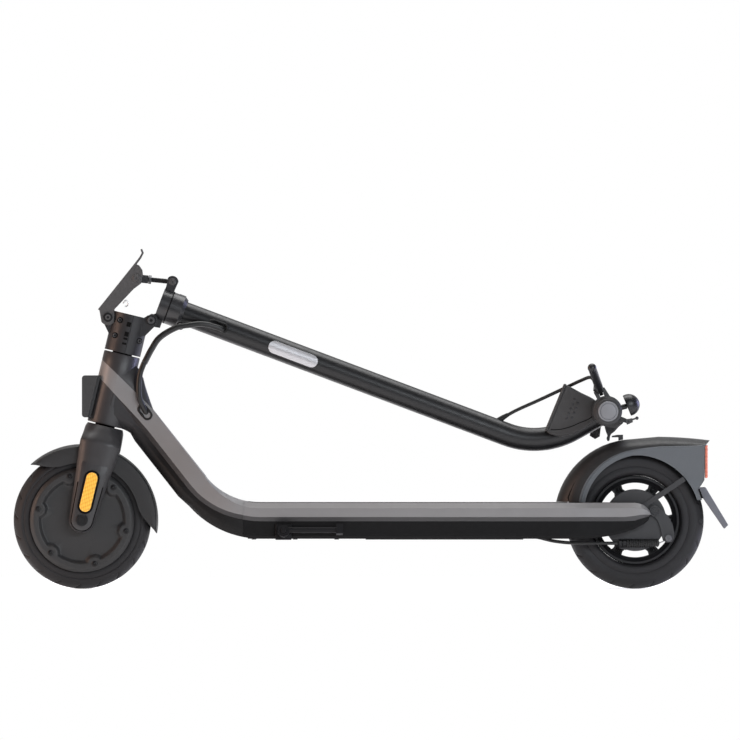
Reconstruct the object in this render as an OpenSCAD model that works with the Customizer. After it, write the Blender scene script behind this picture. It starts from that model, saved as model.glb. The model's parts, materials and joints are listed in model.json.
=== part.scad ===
// Folding electric kick scooter, shown folded, on its wheels.
// Front toward -X, rider's left toward -Y, up is +Z, origin on the ground under the middle.

/* [Wheels] */
// Outer diameter of both tyres
tyre_d = 206; // [200:1:210]
// Width of both tyres
tyre_w = 46; // [40:1:48]
// Distance between the wheel axles
wheelbase = 829; // [815:1:840]
// Diameter of the front hub motor covers
cover_d = 156.6; // [150:0.2:158]
// Inner diameter of the rear rim ring
rim_hole_d = 112; // [106:1:116]
// Number of rear rim spokes
spokes = 6; // [5:1:8]

/* [Frame] */
// Angle of the steering axis above the horizontal
head_angle = 76.5; // [76:0.1:77]
// Height of the deck's top face
deck_top = 129.2; // [128:0.2:131]
// Height of the deck's bottom face
deck_bottom = 75.3; // [74:0.1:77]
// Width of the deck
deck_w = 150; // [146:1:156]
// Angle of the neck below the horizontal
neck_angle = 51.7; // [51:0.1:52.5]
// Radius of the head tube
head_r = 27.5; // [27:0.1:28]

/* [Stem] */
// Angle of the folded stem below the horizontal
fold_angle = 20.6; // [20:0.1:21]
// Radius of the stem tube
stem_r = 17.5; // [16.5:0.1:18]
// Bend radius at the top of the stem
bend_r = 118; // [116:1:120]
// Angle of the bend at the top of the stem
bend_angle = 50; // [49:0.5:51]
// Length of the handlebar from end to end
bar_len = 442; // [420:2:470]

/* [Hidden] */
$fn = 64;

tyre_r = tyre_d / 2;
cover_r = cover_d / 2;
front_x = -wheelbase / 2 - 18.5;
rear_x = wheelbase / 2 - 18.5;
lean = 90 - head_angle;
half_deck = deck_w / 2;
// Running fit of a shaft in its bore, on the radius
fit = 0.05;

// Steering axis stations, measured along the axis from the front axle
crown_s = 144.8;
head_s0 = 147;
head_s1 = 256;
base_s0 = 257.8;
base_s1 = 316.5;
// Hinge points in the steering frame: distance behind the axis, distance along it
latch_pt = [-33.5, 304.7];
fold_pt = [30.7, 315.2];
link_pt = [-5.9, 371.4];
// Link lug in the stem frame, from the fold hinge: along the stem, away from it
lug_pt = [9.4, 65.4];
// Distance of the stem's axis from the fold hinge
stem_off = 27.5;
// Lengths along the stem, from the fold hinge
collar_x0 = 2.5;
collar_x1 = 18;
sleeve_x1 = 36.6;
ring_x1 = 42;
bend_x = 559;
bar_pt = [353.5, 266.4];
// Half widths of the latch's parts, from the middle out
link_half = 5.2;
lug_in = 5.6;
lug_out = 10.2;
lever_in = 10.7;
lever_out = 14;

// Folded positions of the hinge points in the side view
fold_xz = side_of_steer(fold_pt);
latch_xz = side_of_steer(latch_pt);
link_xz = side_of_steer(link_pt);
lug_xz = side_of_stem(lug_pt);

function side_of_steer(p) = [front_x + p.x * cos(lean) + p.y * sin(lean),
    tyre_r - p.x * sin(lean) + p.y * cos(lean)];
function side_of_stem(p) = fold_xz + [p.x * cos(fold_angle) + p.y * sin(fold_angle),
    p.y * cos(fold_angle) - p.x * sin(fold_angle)];
function arc(c, r, a0, a1, n = 12) =
    [for (i = [0 : n]) c + r * [cos(a0 + (a1 - a0) * i / n), sin(a0 + (a1 - a0) * i / n)]];
function ease(t) = t * t * (3 - 2 * t);
// Points from p to q along a shallow bow of the given height
function bow(p, q, h, n = 8) = [for (i = [0 : n]) let (t = i / n, d = q - p)
    p + t * d + 4 * h * t * (1 - t) * [-d.y, d.x] / norm(d)];

// Side-view outline (x, z) made solid between two values of y
module slab(y0, y1) {
    translate([0, y1, 0]) rotate([90, 0, 0]) linear_extrude(y1 - y0) children();
}
// The same slab on both sides of the middle plane
module slab_pair(y0, y1) {
    slab(y0, y1) children();
    slab(-y1, -y0) children();
}
// Section (y, z) made solid between two values of x
module along_x(x0, x1) {
    translate([x0, 0, 0]) rotate([90, 0, 90]) linear_extrude(x1 - x0) children();
}
// Cylinder along y at a side-view point
module pin(p, r, y0, y1) {
    translate([p.x, y1, p.y]) rotate([90, 0, 0]) cylinder(r = r, h = y1 - y0);
}
module pin_pair(p, r, y0, y1) {
    pin(p, r, y0, y1);
    pin(p, r, -y1, -y0);
}
module tube(ro, ri, z0, z1) {
    translate([0, 0, z0]) difference() {
        cylinder(r = ro, h = z1 - z0);
        translate([0, 0, -1]) cylinder(r = ri, h = z1 - z0 + 2);
    }
}
// Places children with z along the steering axis, from the front axle
module steer_frame() {
    translate([front_x, 0, tyre_r]) rotate([0, lean, 0]) children();
}
// Places children with x along the folded stem, from the fold hinge
module stem_frame() {
    translate([fold_xz.x, 0, fold_xz.y]) rotate([0, fold_angle, 0]) children();
}
// Places children with z along the wheel's axle toward the rider's left
module wheel_frame(x) {
    translate([x, 0, tyre_r]) rotate([90, 0, 0]) children();
}
// Sweeps a round cord of 8 sides through the points
module cord(pts, r) {
    n = len(pts);
    dirs = [for (i = [0 : n - 1]) let (d = pts[min(i + 1, n - 1)] - pts[max(i - 1, 0)]) d / norm(d)];
    rings = [for (i = [0 : n - 1]) let (u0 = cross(dirs[i], [0.1, 1, 0.1]), u = u0 / norm(u0),
        v = cross(dirs[i], u)) each [for (k = [0 : 7]) pts[i] + r * (cos(45 * k) * u + sin(45 * k) * v)]];
    sides = [for (i = [0 : n - 2], k = [0 : 7])
        [8 * i + k, 8 * i + 8 + k, 8 * i + 8 + (k + 1) % 8, 8 * i + (k + 1) % 8]];
    polyhedron(rings, concat([[for (k = [0 : 7]) k]], sides, [[for (k = [0 : 7]) 8 * n - 1 - k]]));
}

// ---- Frame ----
// Neck outline: deck joint, bend, down tube, gusset under the head tube
neck_x = -191.4;
inner_bend_r = 105;
outer_bend_r = 145;
bend_x1 = neck_x + 25;
neck_low = side_of_steer([39.5, 143.8]);
neck_high = [-327, 269.4];
module neck_outline() {
    polygon(concat(
        [[neck_x, deck_bottom]],
        [for (p = arc([-164, deck_bottom + outer_bend_r], outer_bend_r, 258, 270 - neck_angle)) p],
        [neck_low, side_of_steer([34, 145.5]), side_of_steer([27.5, head_s0]), side_of_steer([0, head_s0]),
            side_of_steer([0, head_s1 - 4]), side_of_steer([27, head_s1 - 4])],
        bow(side_of_steer([27.4, 244]), neck_high, -4),
        arc([bend_x1, deck_top + inner_bend_r], inner_bend_r, 270 - neck_angle, 256),
        [[neck_x, deck_top]]));
}
// Plan outline (x, y): slim at the head tube, as wide as the deck at the joint
module neck_plan(shrink = 0) {
    edge = [for (i = [0 : 10]) let (t = i / 10) [-330 + 128 * t, 24 + (half_deck - 24) * ease(t) - shrink]];
    polygon(concat([[-440, 24 - shrink]], edge,
        [[neck_x, half_deck - shrink], [neck_x, shrink - half_deck]],
        [for (i = [10 : -1 : 0]) [edge[i].x, -edge[i].y]], [[-440, shrink - 24]]));
}
// Hollow of the down tube, open toward the deck
neck_wall = 6;
module neck_hollow() {
    r0 = inner_bend_r + neck_wall;
    r1 = outer_bend_r - neck_wall;
    polygon(concat([[neck_x + 1, deck_bottom + neck_wall + 3]],
        [for (p = arc([-164, deck_bottom + outer_bend_r], r1, 259, 270 - neck_angle)) p],
        [[-332, 208.7], [-322.4, 253.9]],
        [for (p = arc([bend_x1, deck_top + inner_bend_r], r0, 270 - neck_angle, 257)) p],
        [[neck_x + 1, deck_top - neck_wall + 3]]));
}
module neck() {
    color("dimgray") difference() {
        intersection() {
            slab(-half_deck, half_deck) neck_outline();
            linear_extrude(500) neck_plan();
        }
        steer_frame() translate([0, 0, 100]) cylinder(r = head_r, h = 200);
        intersection() {
            slab(-half_deck, half_deck) neck_hollow();
            linear_extrude(500) neck_plan(neck_wall);
        }
        grommet_pocket();
    }
}
grommet_pt = [-338.6, 264.6];
module grommet_pocket() {
    translate([grommet_pt.x, -16, grommet_pt.y]) rotate([90, neck_angle, 0]) oval(26.4, 14.4, 20);
}
// Oval prism along z, its long side along x
module oval(l, w, h) {
    for (s = [-1, 1]) {
        translate([s * (l - w) / 2, 0, 0]) cylinder(d = w, h = h);
    }
    translate([(w - l) / 2, -w / 2, 0]) cube([l - w, w, h]);
}
module head_tube() {
    color("dimgray") steer_frame() difference() {
        translate([0, 0, head_s0]) cylinder(r = head_r, h = head_s1 - head_s0);
        translate([0, 0, head_s0 - 1]) cylinder(r = 17.5, h = 200);
        for (z = [head_s0 - 1, head_s1 - 9]) {
            translate([0, 0, z]) cylinder(r = 20.5 + fit, h = 10);
        }
    }
}
module headset_bearings() {
    color("silver") steer_frame() {
        tube(20.5, 15 + fit, head_s0 + 0.4, head_s0 + 8.9);
        tube(20.5, 15 + fit, head_s1 - 8.9, head_s1 - 0.4);
    }
}
deck_x1 = 306.6;
wall = 3;
module deck_section() {
    half = [[68, deck_top], [half_deck, deck_top - 8], [half_deck, deck_top - 21.2],
        [68.5, deck_top - 27.7], [68.5, deck_bottom + 4], [64.5, deck_bottom]];
    polygon(concat(half, [for (i = [len(half) - 1 : -1 : 0]) [-half[i].x, half[i].y]]));
}
module deck_frame() {
    color("dimgray") difference() {
        along_x(neck_x, deck_x1) deck_section();
        translate([neck_x + 6, -64, deck_bottom - 1]) cube([454, 128, deck_top - deck_bottom - wall]);
        translate([neck_x + 6, -62, deck_top - 1.2]) cube([482, 124, 2]);
        pin([rear_x, tyre_r], 110, -34, 34);
        pin([-150, 90], 9.1, 60, 80);
    }
}
// Rear arm outline and its plan taper toward the axle
module arm_outline() {
    polygon(concat([[deck_x1, deck_bottom], [deck_x1, deck_top], [rear_x - 8, deck_top]],
        bow([rear_x - 6, deck_top - 0.8], [rear_x + 24, tyre_r + 2], 2, 5),
        bow([rear_x + 21, tyre_r - 4], [rear_x - 35, tyre_r - 23], 1, 5),
        [[deck_x1 + 24, deck_bottom + 0.8]]));
}
module rear_arm(side) {
    color("dimgray") scale([1, side, 1]) difference() {
        intersection() {
            slab(44, half_deck) arm_outline();
            linear_extrude(200) polygon([[deck_x1, 44], [deck_x1, half_deck], [deck_x1 + 10, half_deck],
                [rear_x + 30, 60], [rear_x + 30, 44]]);
        }
        pin([rear_x, tyre_r], 6 + fit, 40, 80);
        pin([rear_x, tyre_r], 10.6, 62, 80);
    }
}
module rear_arms() {
    rear_arm(-1);
    rear_arm(1);
}
module deck_mat() {
    color("#202124") translate([0, 0, deck_top - 1.2]) difference() {
        translate([neck_x + 8, -61, 0]) cube([478, 122, 1.6]);
        for (y = [-56 : 8 : 56]) {
            translate([neck_x + 18, y - 1, 1]) cube([458, 2, 1]);
        }
        translate([0, 0, tyre_r - deck_top + 1.2]) pin([rear_x, 0], 110, -36, 36);
    }
}
module bottom_cover() {
    color("#1a1b1d") difference() {
        union() {
            translate([neck_x + 7, -63.5, deck_bottom]) cube([452, 127, 2.6]);
            translate([-8, -55, deck_bottom - 1.3]) cube([236, 110, 1.4]);
        }
        screw_spots() cylinder(r = 2.1, h = 12, center = true);
        translate([238, -46, deck_bottom - 1]) cube([32, 10, 5]);
    }
}
// Runs the child at each of the bottom cover's screws
module screw_spots() {
    for (x = [neck_x + 16 : 62 : 256], y = [-59, 59]) {
        translate([x, y, deck_bottom]) children();
    }
}
module cover_screws() {
    color("silver") screw_spots() union() {
        translate([0, 0, -1.2]) cylinder(r = 3.4, h = 1.2);
        translate([0, 0, -0.6]) cylinder(r = 2, h = 7);
    }
}
module battery_pack() {
    color("#2b4f7a") translate([-170, -54, deck_bottom + 4]) difference() {
        cube([330, 108, 44]);
        for (i = [0 : 8]) {
            translate([14 + 36 * i, -1, 42.5]) cube([2, 110, 3]);
        }
    }
}
module controller_box() {
    color("silver") translate([172, -45, deck_bottom + 5]) difference() {
        cube([88, 90, 36]);
        for (i = [0 : 9]) {
            translate([4 + 8.4 * i, -1, 30]) cube([4, 92, 8]);
        }
    }
}
module charge_port() {
    color("#101010") difference() {
        pin([-150, 90], 9, 58, 69.5);
        pin([-150, 90], 6.5, 61, 71);
    }
    color("silver") pin([-150, 90], 1, 60.9, 67);
}
module charge_cap() {
    color("#101010") {
        pin([-150, 90], 10, 69.9, 72);
        translate([-155, 69.9, 78]) cube([10, 2.1, 8]);
    }
}
module headlight_housing() {
    color("#202124") difference() {
        slab(-22, 22) polygon(concat([[-395, 320], [-395, 257]], arc([-428.9, 261.5], 4.5, 270, 180, 4),
            arc([-428.9, 315.5], 4.5, 180, 90, 4)));
        steer_frame() translate([0, 0, 120]) cylinder(r = head_r, h = 200);
        translate([-434, -18, 262]) cube([5, 36, 53]);
    }
}
module headlight_lens() {
    color("white") translate([-432.9, -17.9, 262.1]) cube([3.9, 35.8, 52.8]);
}
module frame_grommet() {
    color("#0c0c0c") translate([grommet_pt.x, -16.2, grommet_pt.y])
        rotate([90, neck_angle, 0]) difference() {
        union() {
            oval(26, 14, 8);
            translate([0, 0, 8.3]) oval(30, 18, 2.2);
            translate([0, 0, 8]) oval(26, 14, 1);
        }
        translate([-3, 0, -1]) oval(16, 11.2, 14);
    }
}
// ---- Kickstand ----
stand_pt = [-131, -79, 86];
stand_tilt = 15;
module stand_frame() {
    translate(stand_pt) rotate([-stand_tilt, 0, 0]) children();
}
module kickstand_bracket() {
    color("#202124") {
        difference() {
            translate([-143, -77, deck_bottom - 1.5]) cube([24, 8.4, 24]);
            stand_frame() translate([-20, -8, -20]) cube([60, 10.4, 40]);
        }
        stand_frame() translate([0, 4.5, 0]) rotate([90, 0, 0]) cylinder(r = 4, h = 14.5);
    }
}
module kickstand_leg() {
    color("#26282b") stand_frame() {
        difference() {
            translate([0, 2, 0]) rotate([90, 0, 0]) cylinder(r = 9, h = 9);
            translate([0, 12, 0]) rotate([90, 0, 0]) cylinder(r = 4 + fit, h = 30);
        }
        translate([7, -2.5, 2]) rotate([0, 90, 0]) cylinder(r = 4.4, h = 76);
        translate([79, -9.5, -5]) cube([10, 11, 15]);
    }
}

// ---- Rear wheel and brake ----
module rear_axle() {
    color("silver") wheel_frame(rear_x) {
        translate([0, 0, -66]) cylinder(r = 6, h = 132);
        for (z = [-70, 62.2]) {
            translate([0, 0, z]) cylinder(r = 10, h = 7.8, $fn = 6);
        }
    }
}
// Tyre with a round tread and flat sides around its bead
module tyre_ring(bead_r) {
    w = tyre_w / 2;
    crown = 17;
    rotate_extrude($fn = 96) polygon(concat([[bead_r, -w + 6], [bead_r + 6, -w]],
        [for (p = arc([0, 0], 1, -75, 75, 14)) [tyre_r - crown + crown * p.x, w * p.y / sin(75)]],
        [[bead_r + 6, w], [bead_r, w - 6]]));
}
module rear_tyre() {
    color("#1c1d1f") wheel_frame(rear_x) tyre_ring(67);
}
module rear_rim() {
    hole_r = rim_hole_d / 2;
    color("#3a3c3f") wheel_frame(rear_x) {
        difference() {
            union() {
                tube(66.9, hole_r, -17, 17);
                for (i = [0 : spokes - 1]) {
                    rotate(i * 360 / spokes) translate([44, -7.5, -14]) cube([13.5, 15, 24]);
                }
                translate([0, 0, -16]) cylinder(r = 46.5, h = 50);
            }
            translate([0, 0, 14]) cylinder(r = 40, h = 30);
            translate([0, 0, -20]) cylinder(r = 13, h = 60);
        }
        tube(12.95, 6 + fit, -15, -7);
        tube(12.95, 6 + fit, 5, 13);
    }
}
module brake_drum() {
    color("gray") wheel_frame(rear_x) tube(39.9, 36, 14.5, 33.5);
}
module brake_shoes() {
    color("tan") wheel_frame(rear_x) difference() {
        tube(35.4, 27, 16, 32);
        translate([-2, -40, 10]) cube([4, 80, 30]);
    }
}
module drum_brake_plate() {
    color("#3a3c3f") {
        wheel_frame(rear_x) difference() {
            union() {
                translate([0, 0, 35]) cylinder(r = 46, h = 4);
                translate([0, 0, 38]) cylinder(r = 14, h = 5.8);
            }
            translate([0, 0, 30]) cylinder(r = 6 + fit, h = 20);
            translate([29, 13.7, 30]) cylinder(r = 4 + fit, h = 20);
            translate([-80, bellows_z - tyre_r, 42]) rotate([0, 90, 0]) cylinder(r = 6.8, h = 160);
        }
        difference() {
            slab(-39, -34.7) polygon([[rear_x - 24, tyre_r - 20], [rear_x - 24, 61],
                [rear_x - 14, 58], [rear_x + 8, tyre_r - 30]]);
            translate([360, -42, bellows_z]) rotate([0, 90, 0]) cylinder(r = 6.8, h = 80);
        }
    }
}
cam_pt = [425, 116.7];
clamp_pt = [447.5, 75.3];
module brake_arm() {
    color("#2a2b2d") {
        pin(cam_pt, 4, -43.4, -33.5);
        slab(-43.4, -40.2) hull() {
            translate(cam_pt) circle(8);
            translate(clamp_pt) circle(6);
        }
        pin(clamp_pt, 4.5, -46.5, -40.2);
        translate([clamp_pt.x + 3, -42, clamp_pt.y]) rotate([0, 80, 0]) cylinder(r = 1, h = 21);
    }
}
// Cable from under the deck, its adjuster and its rubber bellows
bellows_z = 68.5;
module rear_brake_cable() {
    color("black") cord([[244, -40, 77.2], [252, -41, 76.9], [262, -42, 74.4], [276, -42, 71.4],
        [297, -42, 69.2], [325, -42, 68.6], [348, -42, 68.5], [370.9, -42, 68.5]], 2.6);
    translate([371, -42, bellows_z]) rotate([0, 90, 0]) {
        color("silver") cylinder(r = 6.5, h = 11.5, $fn = 6);
        color("#151515") translate([0, 0, 11.6]) rotate_extrude() polygon(concat([[1.2, 0]],
            [for (i = [0 : 15]) [i % 2 == 0 ? 4.6 : 6.4, 3.3 * i]], [[1.2, 49.5]]));
    }
}
// ---- Rear fender ----
fender_r = 121.5;
module fender_outline() {
    polygon(concat(
        arc([rear_x, tyre_r], fender_r, 167, 92, 16),
        bow([rear_x + 24, 228], [rear_x + 112, 222.6], 1.5, 4),
        [[rear_x + 104.5, 216], [rear_x + 103.5, 160], [rear_x + 94, 149], [rear_x + 100, 133]],
        [for (i = [0 : 7]) let (a = 18 + 10.3 * i) [rear_x + 97.5 * cos(a), tyre_r + 97.5 * sin(a)]],
        [for (i = [0 : 6]) let (a = 92 + 10.2 * i, r = 97.5 - 0.52 * (a - 90))
            [rear_x + r * cos(a), tyre_r + r * sin(a)]],
        [[rear_x - 62, deck_top + 1]]));
}
module rear_fender() {
    color("#303236") difference() {
        slab(-38, 38) fender_outline();
        pin([rear_x, tyre_r], 107, -32, 32);
        translate([rear_x - 200, -60, deck_top - 60]) cube([110, 120, 61.2]);
    }
}
// Steel brackets on the fender: the stay on each side and the catch for the fold hook
module fender_brackets() {
    color("#55585c") {
        slab_pair(40.4, 43.6) polygon([[rear_x + 11, 127.4], [rear_x + 15, 121], [rear_x + 75.5, 161.8],
            [rear_x + 71, 168.2]]);
        pin_pair([rear_x + 70, 163], 3, 38, 41);
        slab(-6, 6) polygon([[371, 222.2], [371, 227], [361.2, 227], [361.2, 229.2],
            [369, 230.8], [378, 231],
            [378, 223.6]]);
    }
}
module tail_light() {
    color("red") translate([rear_x + 104.6, -28, 166]) cube([4.2, 56, 49.5]);
}
module mud_flap() {
    color("#4a4d52") slab(-32, 32) polygon([[rear_x + 103.3, 154], [rear_x + 97.5, 145],
        [rear_x + 135, 89], [rear_x + 140, 94]]);
}
// ---- Front end ----
// Fork leg outline in the steering frame
module leg_outline() {
    polygon(concat(arc([0, 0], 19.5, 180, 360, 16),
        [[25.8, 70], [30.8, 109], [31, 134], [-29, 134], [-30.7, 116]]));
}
module fork() {
    color("#2c2e31") steer_frame() difference() {
        union() {
            intersection() {
                slab(-50, 50) leg_outline();
                along_x(-40, 40)
                    polygon([[-50, -25], [-50, 109], [-20, 134], [20, 134], [50, 109], [50, -25]]);
            }
            translate([1, 0, 133]) cylinder(r = 28.4, h = crown_s - 133);
        }
        translate([-60, -36, -30]) cube([120, 72, 146]);
        pin([0, 0], 6 + fit, -60, 60);
    }
    color("silver") steer_frame() tube(15, 12, crown_s, base_s1 - 4.5);
}
module cover_outline(grow) {
    polygon(concat(arc([0, 0], 15.5 + grow, 180, 360, 12), arc([0, 84], 20 + grow, 0, 180, 12)));
}
module fork_covers() {
    color("#232528") steer_frame() difference() {
        slab_pair(50, 53) cover_outline(0);
        pin([0, 0], 9.4, -60, 60);
        for (s = [-1, 1]) {
            translate([0, s * 52, 43.3]) cube([17.4, 4, 60.4], center = true);
        }
    }
}
module fork_reflectors() {
    color("orange") steer_frame() {
        for (s = [-1, 1]) {
            translate([0, s * 52.2, 43.3]) intersection() {
                cube([17, 4, 60], center = true);
                translate([0, 2, 0]) rotate([90, 90, 0]) oval(60, 17, 4);
            }
        }
    }
}
module front_axle() {
    color("silver") steer_frame() {
        pin([0, 0], 6, -50, 50);
        pin_pair([0, 0], 9.2, 50, 56);
    }
}
module front_fender() {
    r0 = 108.5;
    r1 = 114;
    color("#2c2e31") difference() {
        wheel_frame(front_x) linear_extrude(64, center = true) difference() {
            polygon(concat(arc([0, 0], r1, -8, 132, 36), arc([0, 0], r1 - 1, 132.6, 132.6, 1),
                [for (i = [0 : 30]) let (a = 130 - 136 * i / 30, edge = min(a + 8, 132 - a) / 22)
                    (r1 - 1.2 - 27 * ease(min(1, edge))) * [cos(a), sin(a)]]));
        }
        pin([front_x, tyre_r], r0, -29, 29);
    }
}
module motor_stator() {
    color("peru") wheel_frame(front_x) difference() {
        union() {
            translate([0, 0, -13]) cylinder(r = 58, h = 26);
            translate([0, 0, -22]) cylinder(r = 15, h = 44);
        }
        translate([0, 0, -30]) cylinder(r = 6, h = 60);
        for (i = [0 : 17]) {
            rotate(i * 20) translate([36, -2.5, -20]) cube([30, 5, 40]);
        }
    }
}
module front_tyre() {
    color("#1c1d1f") wheel_frame(front_x) tyre_ring(74.6);
}
module hub_motor_shell() {
    color("#2a2c2f") wheel_frame(front_x) {
        tube(74.5, 70, -24, 24);
        tube(70, 59, -12, 12);
    }
}
module hub_motor_covers() {
    color("#26282b") wheel_frame(front_x) {
        for (s = [0, 1]) {
            mirror([0, 0, s]) difference() {
                translate([0, 0, 24]) cylinder(r = cover_r, h = 8);
                translate([0, 0, 23]) cylinder(r = 68, h = 4);
                translate([0, 0, 29.5]) cylinder(r = 62, h = 5);
                translate([0, 0, 20]) cylinder(r = 10 + fit, h = 20);
                for (i = [0 : 5]) {
                    rotate(46 + 60 * i) translate([68, 0, 28]) cylinder(r = 4.4, h = 5);
                }
            }
            mirror([0, 0, s]) for (i = [0 : 5]) {
                rotate(46 + 60 * i) translate([68, 0, 28]) cylinder(r = 3.9, h = 3.2);
            }
        }
    }
}
// ---- Fold hinge and latch ----
// Clamp screws of the hinge base: distance behind the axis, distance along it
clamp_screws = [[-14.7, 305], [-16.9, 281], [21, 281]];
module hinge_base() {
    color("#2c2e31") steer_frame() difference() {
        union() {
            translate([0, 0, base_s0]) cylinder(r = head_r, h = base_s1 - base_s0);
            slab_pair(10, 20) polygon(concat([[18, base_s1 - 30], [27, base_s1 - 26]],
                arc(fold_pt, 10, -40, 100, 10), [[18, base_s1 - 1]]));
            slab(-10, 10) polygon(concat([[-20, base_s1 - 38]], [[-26, base_s1 - 36]],
                arc(latch_pt, 10, 200, 80, 10), [[-20, base_s1 - 2]]));
        }
        translate([0, 0, 200]) cylinder(r = 15 + fit, h = 112);
        pin(latch_pt, 4, -30, 30);
        pin(fold_pt, 5, -30, 30);
        pin(fold_pt, 11.7, -10, 10);
        pin_pair(latch_pt, 12.5, lever_in - 0.4, 30);
        translate([3, -40, base_s0 - 1]) cube([1.2, 13.5, 80]);
        for (p = clamp_screws) {
            pin(p, 4.6, -40, -14);
        }
    }
}
module hinge_pins() {
    color("silver") steer_frame() {
        pin(latch_pt, 4, -lever_out - 0.6, lever_out + 0.6);
        pin_pair(latch_pt, 7, lever_out + 0.4, lever_out + 2.4);
        pin(fold_pt, 5, -20, 20);
        pin_pair(fold_pt, 8, 20, 22);
        for (p = clamp_screws) {
            pin(p, 4.4, -19, -14.1);
        }
    }
}
// Latch lever, from its pivot: side plates, front web, curved finger tip
module lever_plate() {
    polygon(concat(arc([0, 0], 12, 320, 215, 8), [[-12.7, 10.2], [42.9, 79.4], [46.5, 78], [51.5, 70.9],
        [52.4, 63.2], [49.5, 50.8], [38.1, 42.2], [9.6, 12]]));
}
module lever_web() {
    polygon([[-12.7, 10.2], [42.9, 79.4], [49.8, 88.8], [53.6, 96.5], [51.2, 102.6], [48.6, 101.6],
        [50.6, 96.5], [47.2, 90.2], [40.2, 81], [-15, 12]]);
}
module latch_lever() {
    color("#34363a") difference() {
        union() {
            translate([latch_xz.x, 0, latch_xz.y]) {
                slab_pair(lever_in, lever_out) lever_plate();
                slab(-lever_out, lever_out) lever_web();
            }
            pin(link_xz, 3.5, -lever_out - 1, lever_out + 1);
            pin_pair(link_xz, 5.5, lever_out, lever_out + 1.6);
        }
        pin(latch_xz, 4 + fit, -30, 30);
    }
}
module link_rod() {
    d = lug_xz - link_xz;
    gap = norm(d);
    color("#26282b") translate([link_xz.x, 0, link_xz.y]) rotate([0, -atan2(d.y, d.x), 0]) difference() {
        union() {
            pin([0, 0], 7, -10.2, 10.2);
            translate([4, -6, -6]) cube([14, 12, 12]);
            translate([12, 0, 0]) rotate([0, 90, 0]) cylinder(r = 3.4, h = gap - 17);
            pin([gap, 0], 6.5, -link_half, link_half);
        }
        pin([0, 0], 3.5 + fit, -20, 20);
        pin([gap, 0], 3.5 + fit, -20, 20);
    }
}
// Cylinders along the stem's straight axis, from a distance x to its hinge
module on_stem(x) {
    translate([x, 0, stem_off]) rotate([0, 90, 0]) children();
}
module stem_collar() {
    color("#2c2e31") stem_frame() difference() {
        union() {
            on_stem(collar_x0) cylinder(r = 25, h = collar_x1 - collar_x0);
            on_stem(collar_x1) cylinder(r = 24, h = 0.8);
            on_stem(collar_x1 + 0.6) cylinder(r = 25, h = sleeve_x1 - collar_x1 - 0.6);
            on_stem(sleeve_x1) cylinder(r1 = 24, r2 = 20, h = ring_x1 - sleeve_x1);
            slab(-9.6, 9.6)
                polygon(concat(arc([0, 0], 9.4, 150, 300, 10), [[16, -6], [16, 12], [2.6, 12]]));
            slab_pair(lug_in, 9) polygon(concat([[collar_x1 - 1, 44], [collar_x1 - 1, 56]],
                arc(lug_pt, 9, 20, 160, 10), [[3, 56], [3, 44]]));
            pin_pair(lug_pt, 5, 9, lug_out);
        }
        translate([-1, -lug_in, 29]) cube([27, 2 * lug_in, 28]);
        pin([0, 0], 5 + fit, -30, 30);
        pin_pair([0, 0], 10.8, 9.7, 24);
        on_stem(collar_x1) cylinder(r = stem_r, h = 40);
    }
}
// The bent stretch is a hair thinner than the straight ones that it joins
module stem_bend(r) {
    translate([bend_x, 0, stem_off + bend_r]) rotate([90, 0, 0]) rotate([0, 0, -90])
        rotate_extrude(angle = bend_angle) translate([bend_r, 0]) circle(r);
}
module stem_end(r) {
    translate([bend_x + bend_r * sin(bend_angle), 0, stem_off + bend_r * (1 - cos(bend_angle))])
        rotate([0, 90 - bend_angle, 0]) translate([0, 0, -0.3]) cylinder(r = r, h = 60);
}
module stem_tube() {
    color("#232427") difference() {
        stem_frame() {
            on_stem(collar_x1) cylinder(r = stem_r, h = bend_x - collar_x1 + 0.3);
            stem_bend(stem_r - 0.04);
            stem_end(stem_r);
        }
        pin(bar_pt, 16, -30, 30);
        stem_frame() on_stem(collar_x1 - 1) cylinder(r = stem_r - 2.7, h = bend_x - collar_x1 - 6);
        stem_frame() translate([collar_x1 - 1, -lug_in, stem_off + 8]) cube([8, 2 * lug_in, 20]);
        stem_frame() translate([96, -13, stem_off]) rotate([90, 0, 0]) oval(24, 12, 8);
    }
}
module stem_badge() {
    color("silver") stem_frame() intersection() {
        translate([217, -12, stem_off]) rotate([90, 0, 0]) oval(78, 19, 8);
        translate([150, 0, stem_off]) rotate([0, 90, 0]) difference() {
            cylinder(r = stem_r + 0.8, h = 140);
            translate([0, 0, -1]) cylinder(r = stem_r, h = 142);
        }
    }
}

// ---- Cockpit ----
module front_cowl() {
    color("#2b2a2b") difference() {
        slab(-32, 32) polygon([[262.4, 236.4], [291.6, 306.4], [301, 301.4], [316, 293.2],
            [328, 287.6], [336, 283],
            [336, 250], [331.5, 248.4], [316, 239.8], [302, 232.6], [283.4, 228.4], [266.6, 232.4]]);
        slab(-29, 29)
            polygon([[259, 222], [286.6, 311], [293, 301.9], [326, 284.6], [333, 280], [333, 222]]);
        translate([284, -26, 296]) cube([20, 16, 20]);
        pin(bar_pt, 23, -40, 40);
        stem_frame() {
            stem_bend(stem_r + 0.3);
            stem_end(stem_r + 0.3);
        }
    }
}
module handlebar() {
    color("#26282b") {
        pin(bar_pt, 16, -24, 24);
        pin(bar_pt, 11.1, -bar_len / 2 + 5, bar_len / 2 - 5);
    }
}
module grips() {
    color("#1a1b1c") {
        difference() {
            union() {
                pin_pair(bar_pt, 15.5, 104, bar_len / 2 - 5);
                pin_pair(bar_pt, 21.6, 100, 105);
                pin_pair(bar_pt, 14.5, bar_len / 2 - 6, bar_len / 2);
            }
            pin_pair(bar_pt, 11.1, 90, bar_len / 2 - 5);
        }
    }
}
dash_tilt = 38;
hook_pt = [369, 247];
button_y = 24;
module dash_frame() {
    translate([bar_pt.x, 0, bar_pt.y]) rotate([0, dash_tilt, 0]) children();
}
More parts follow.
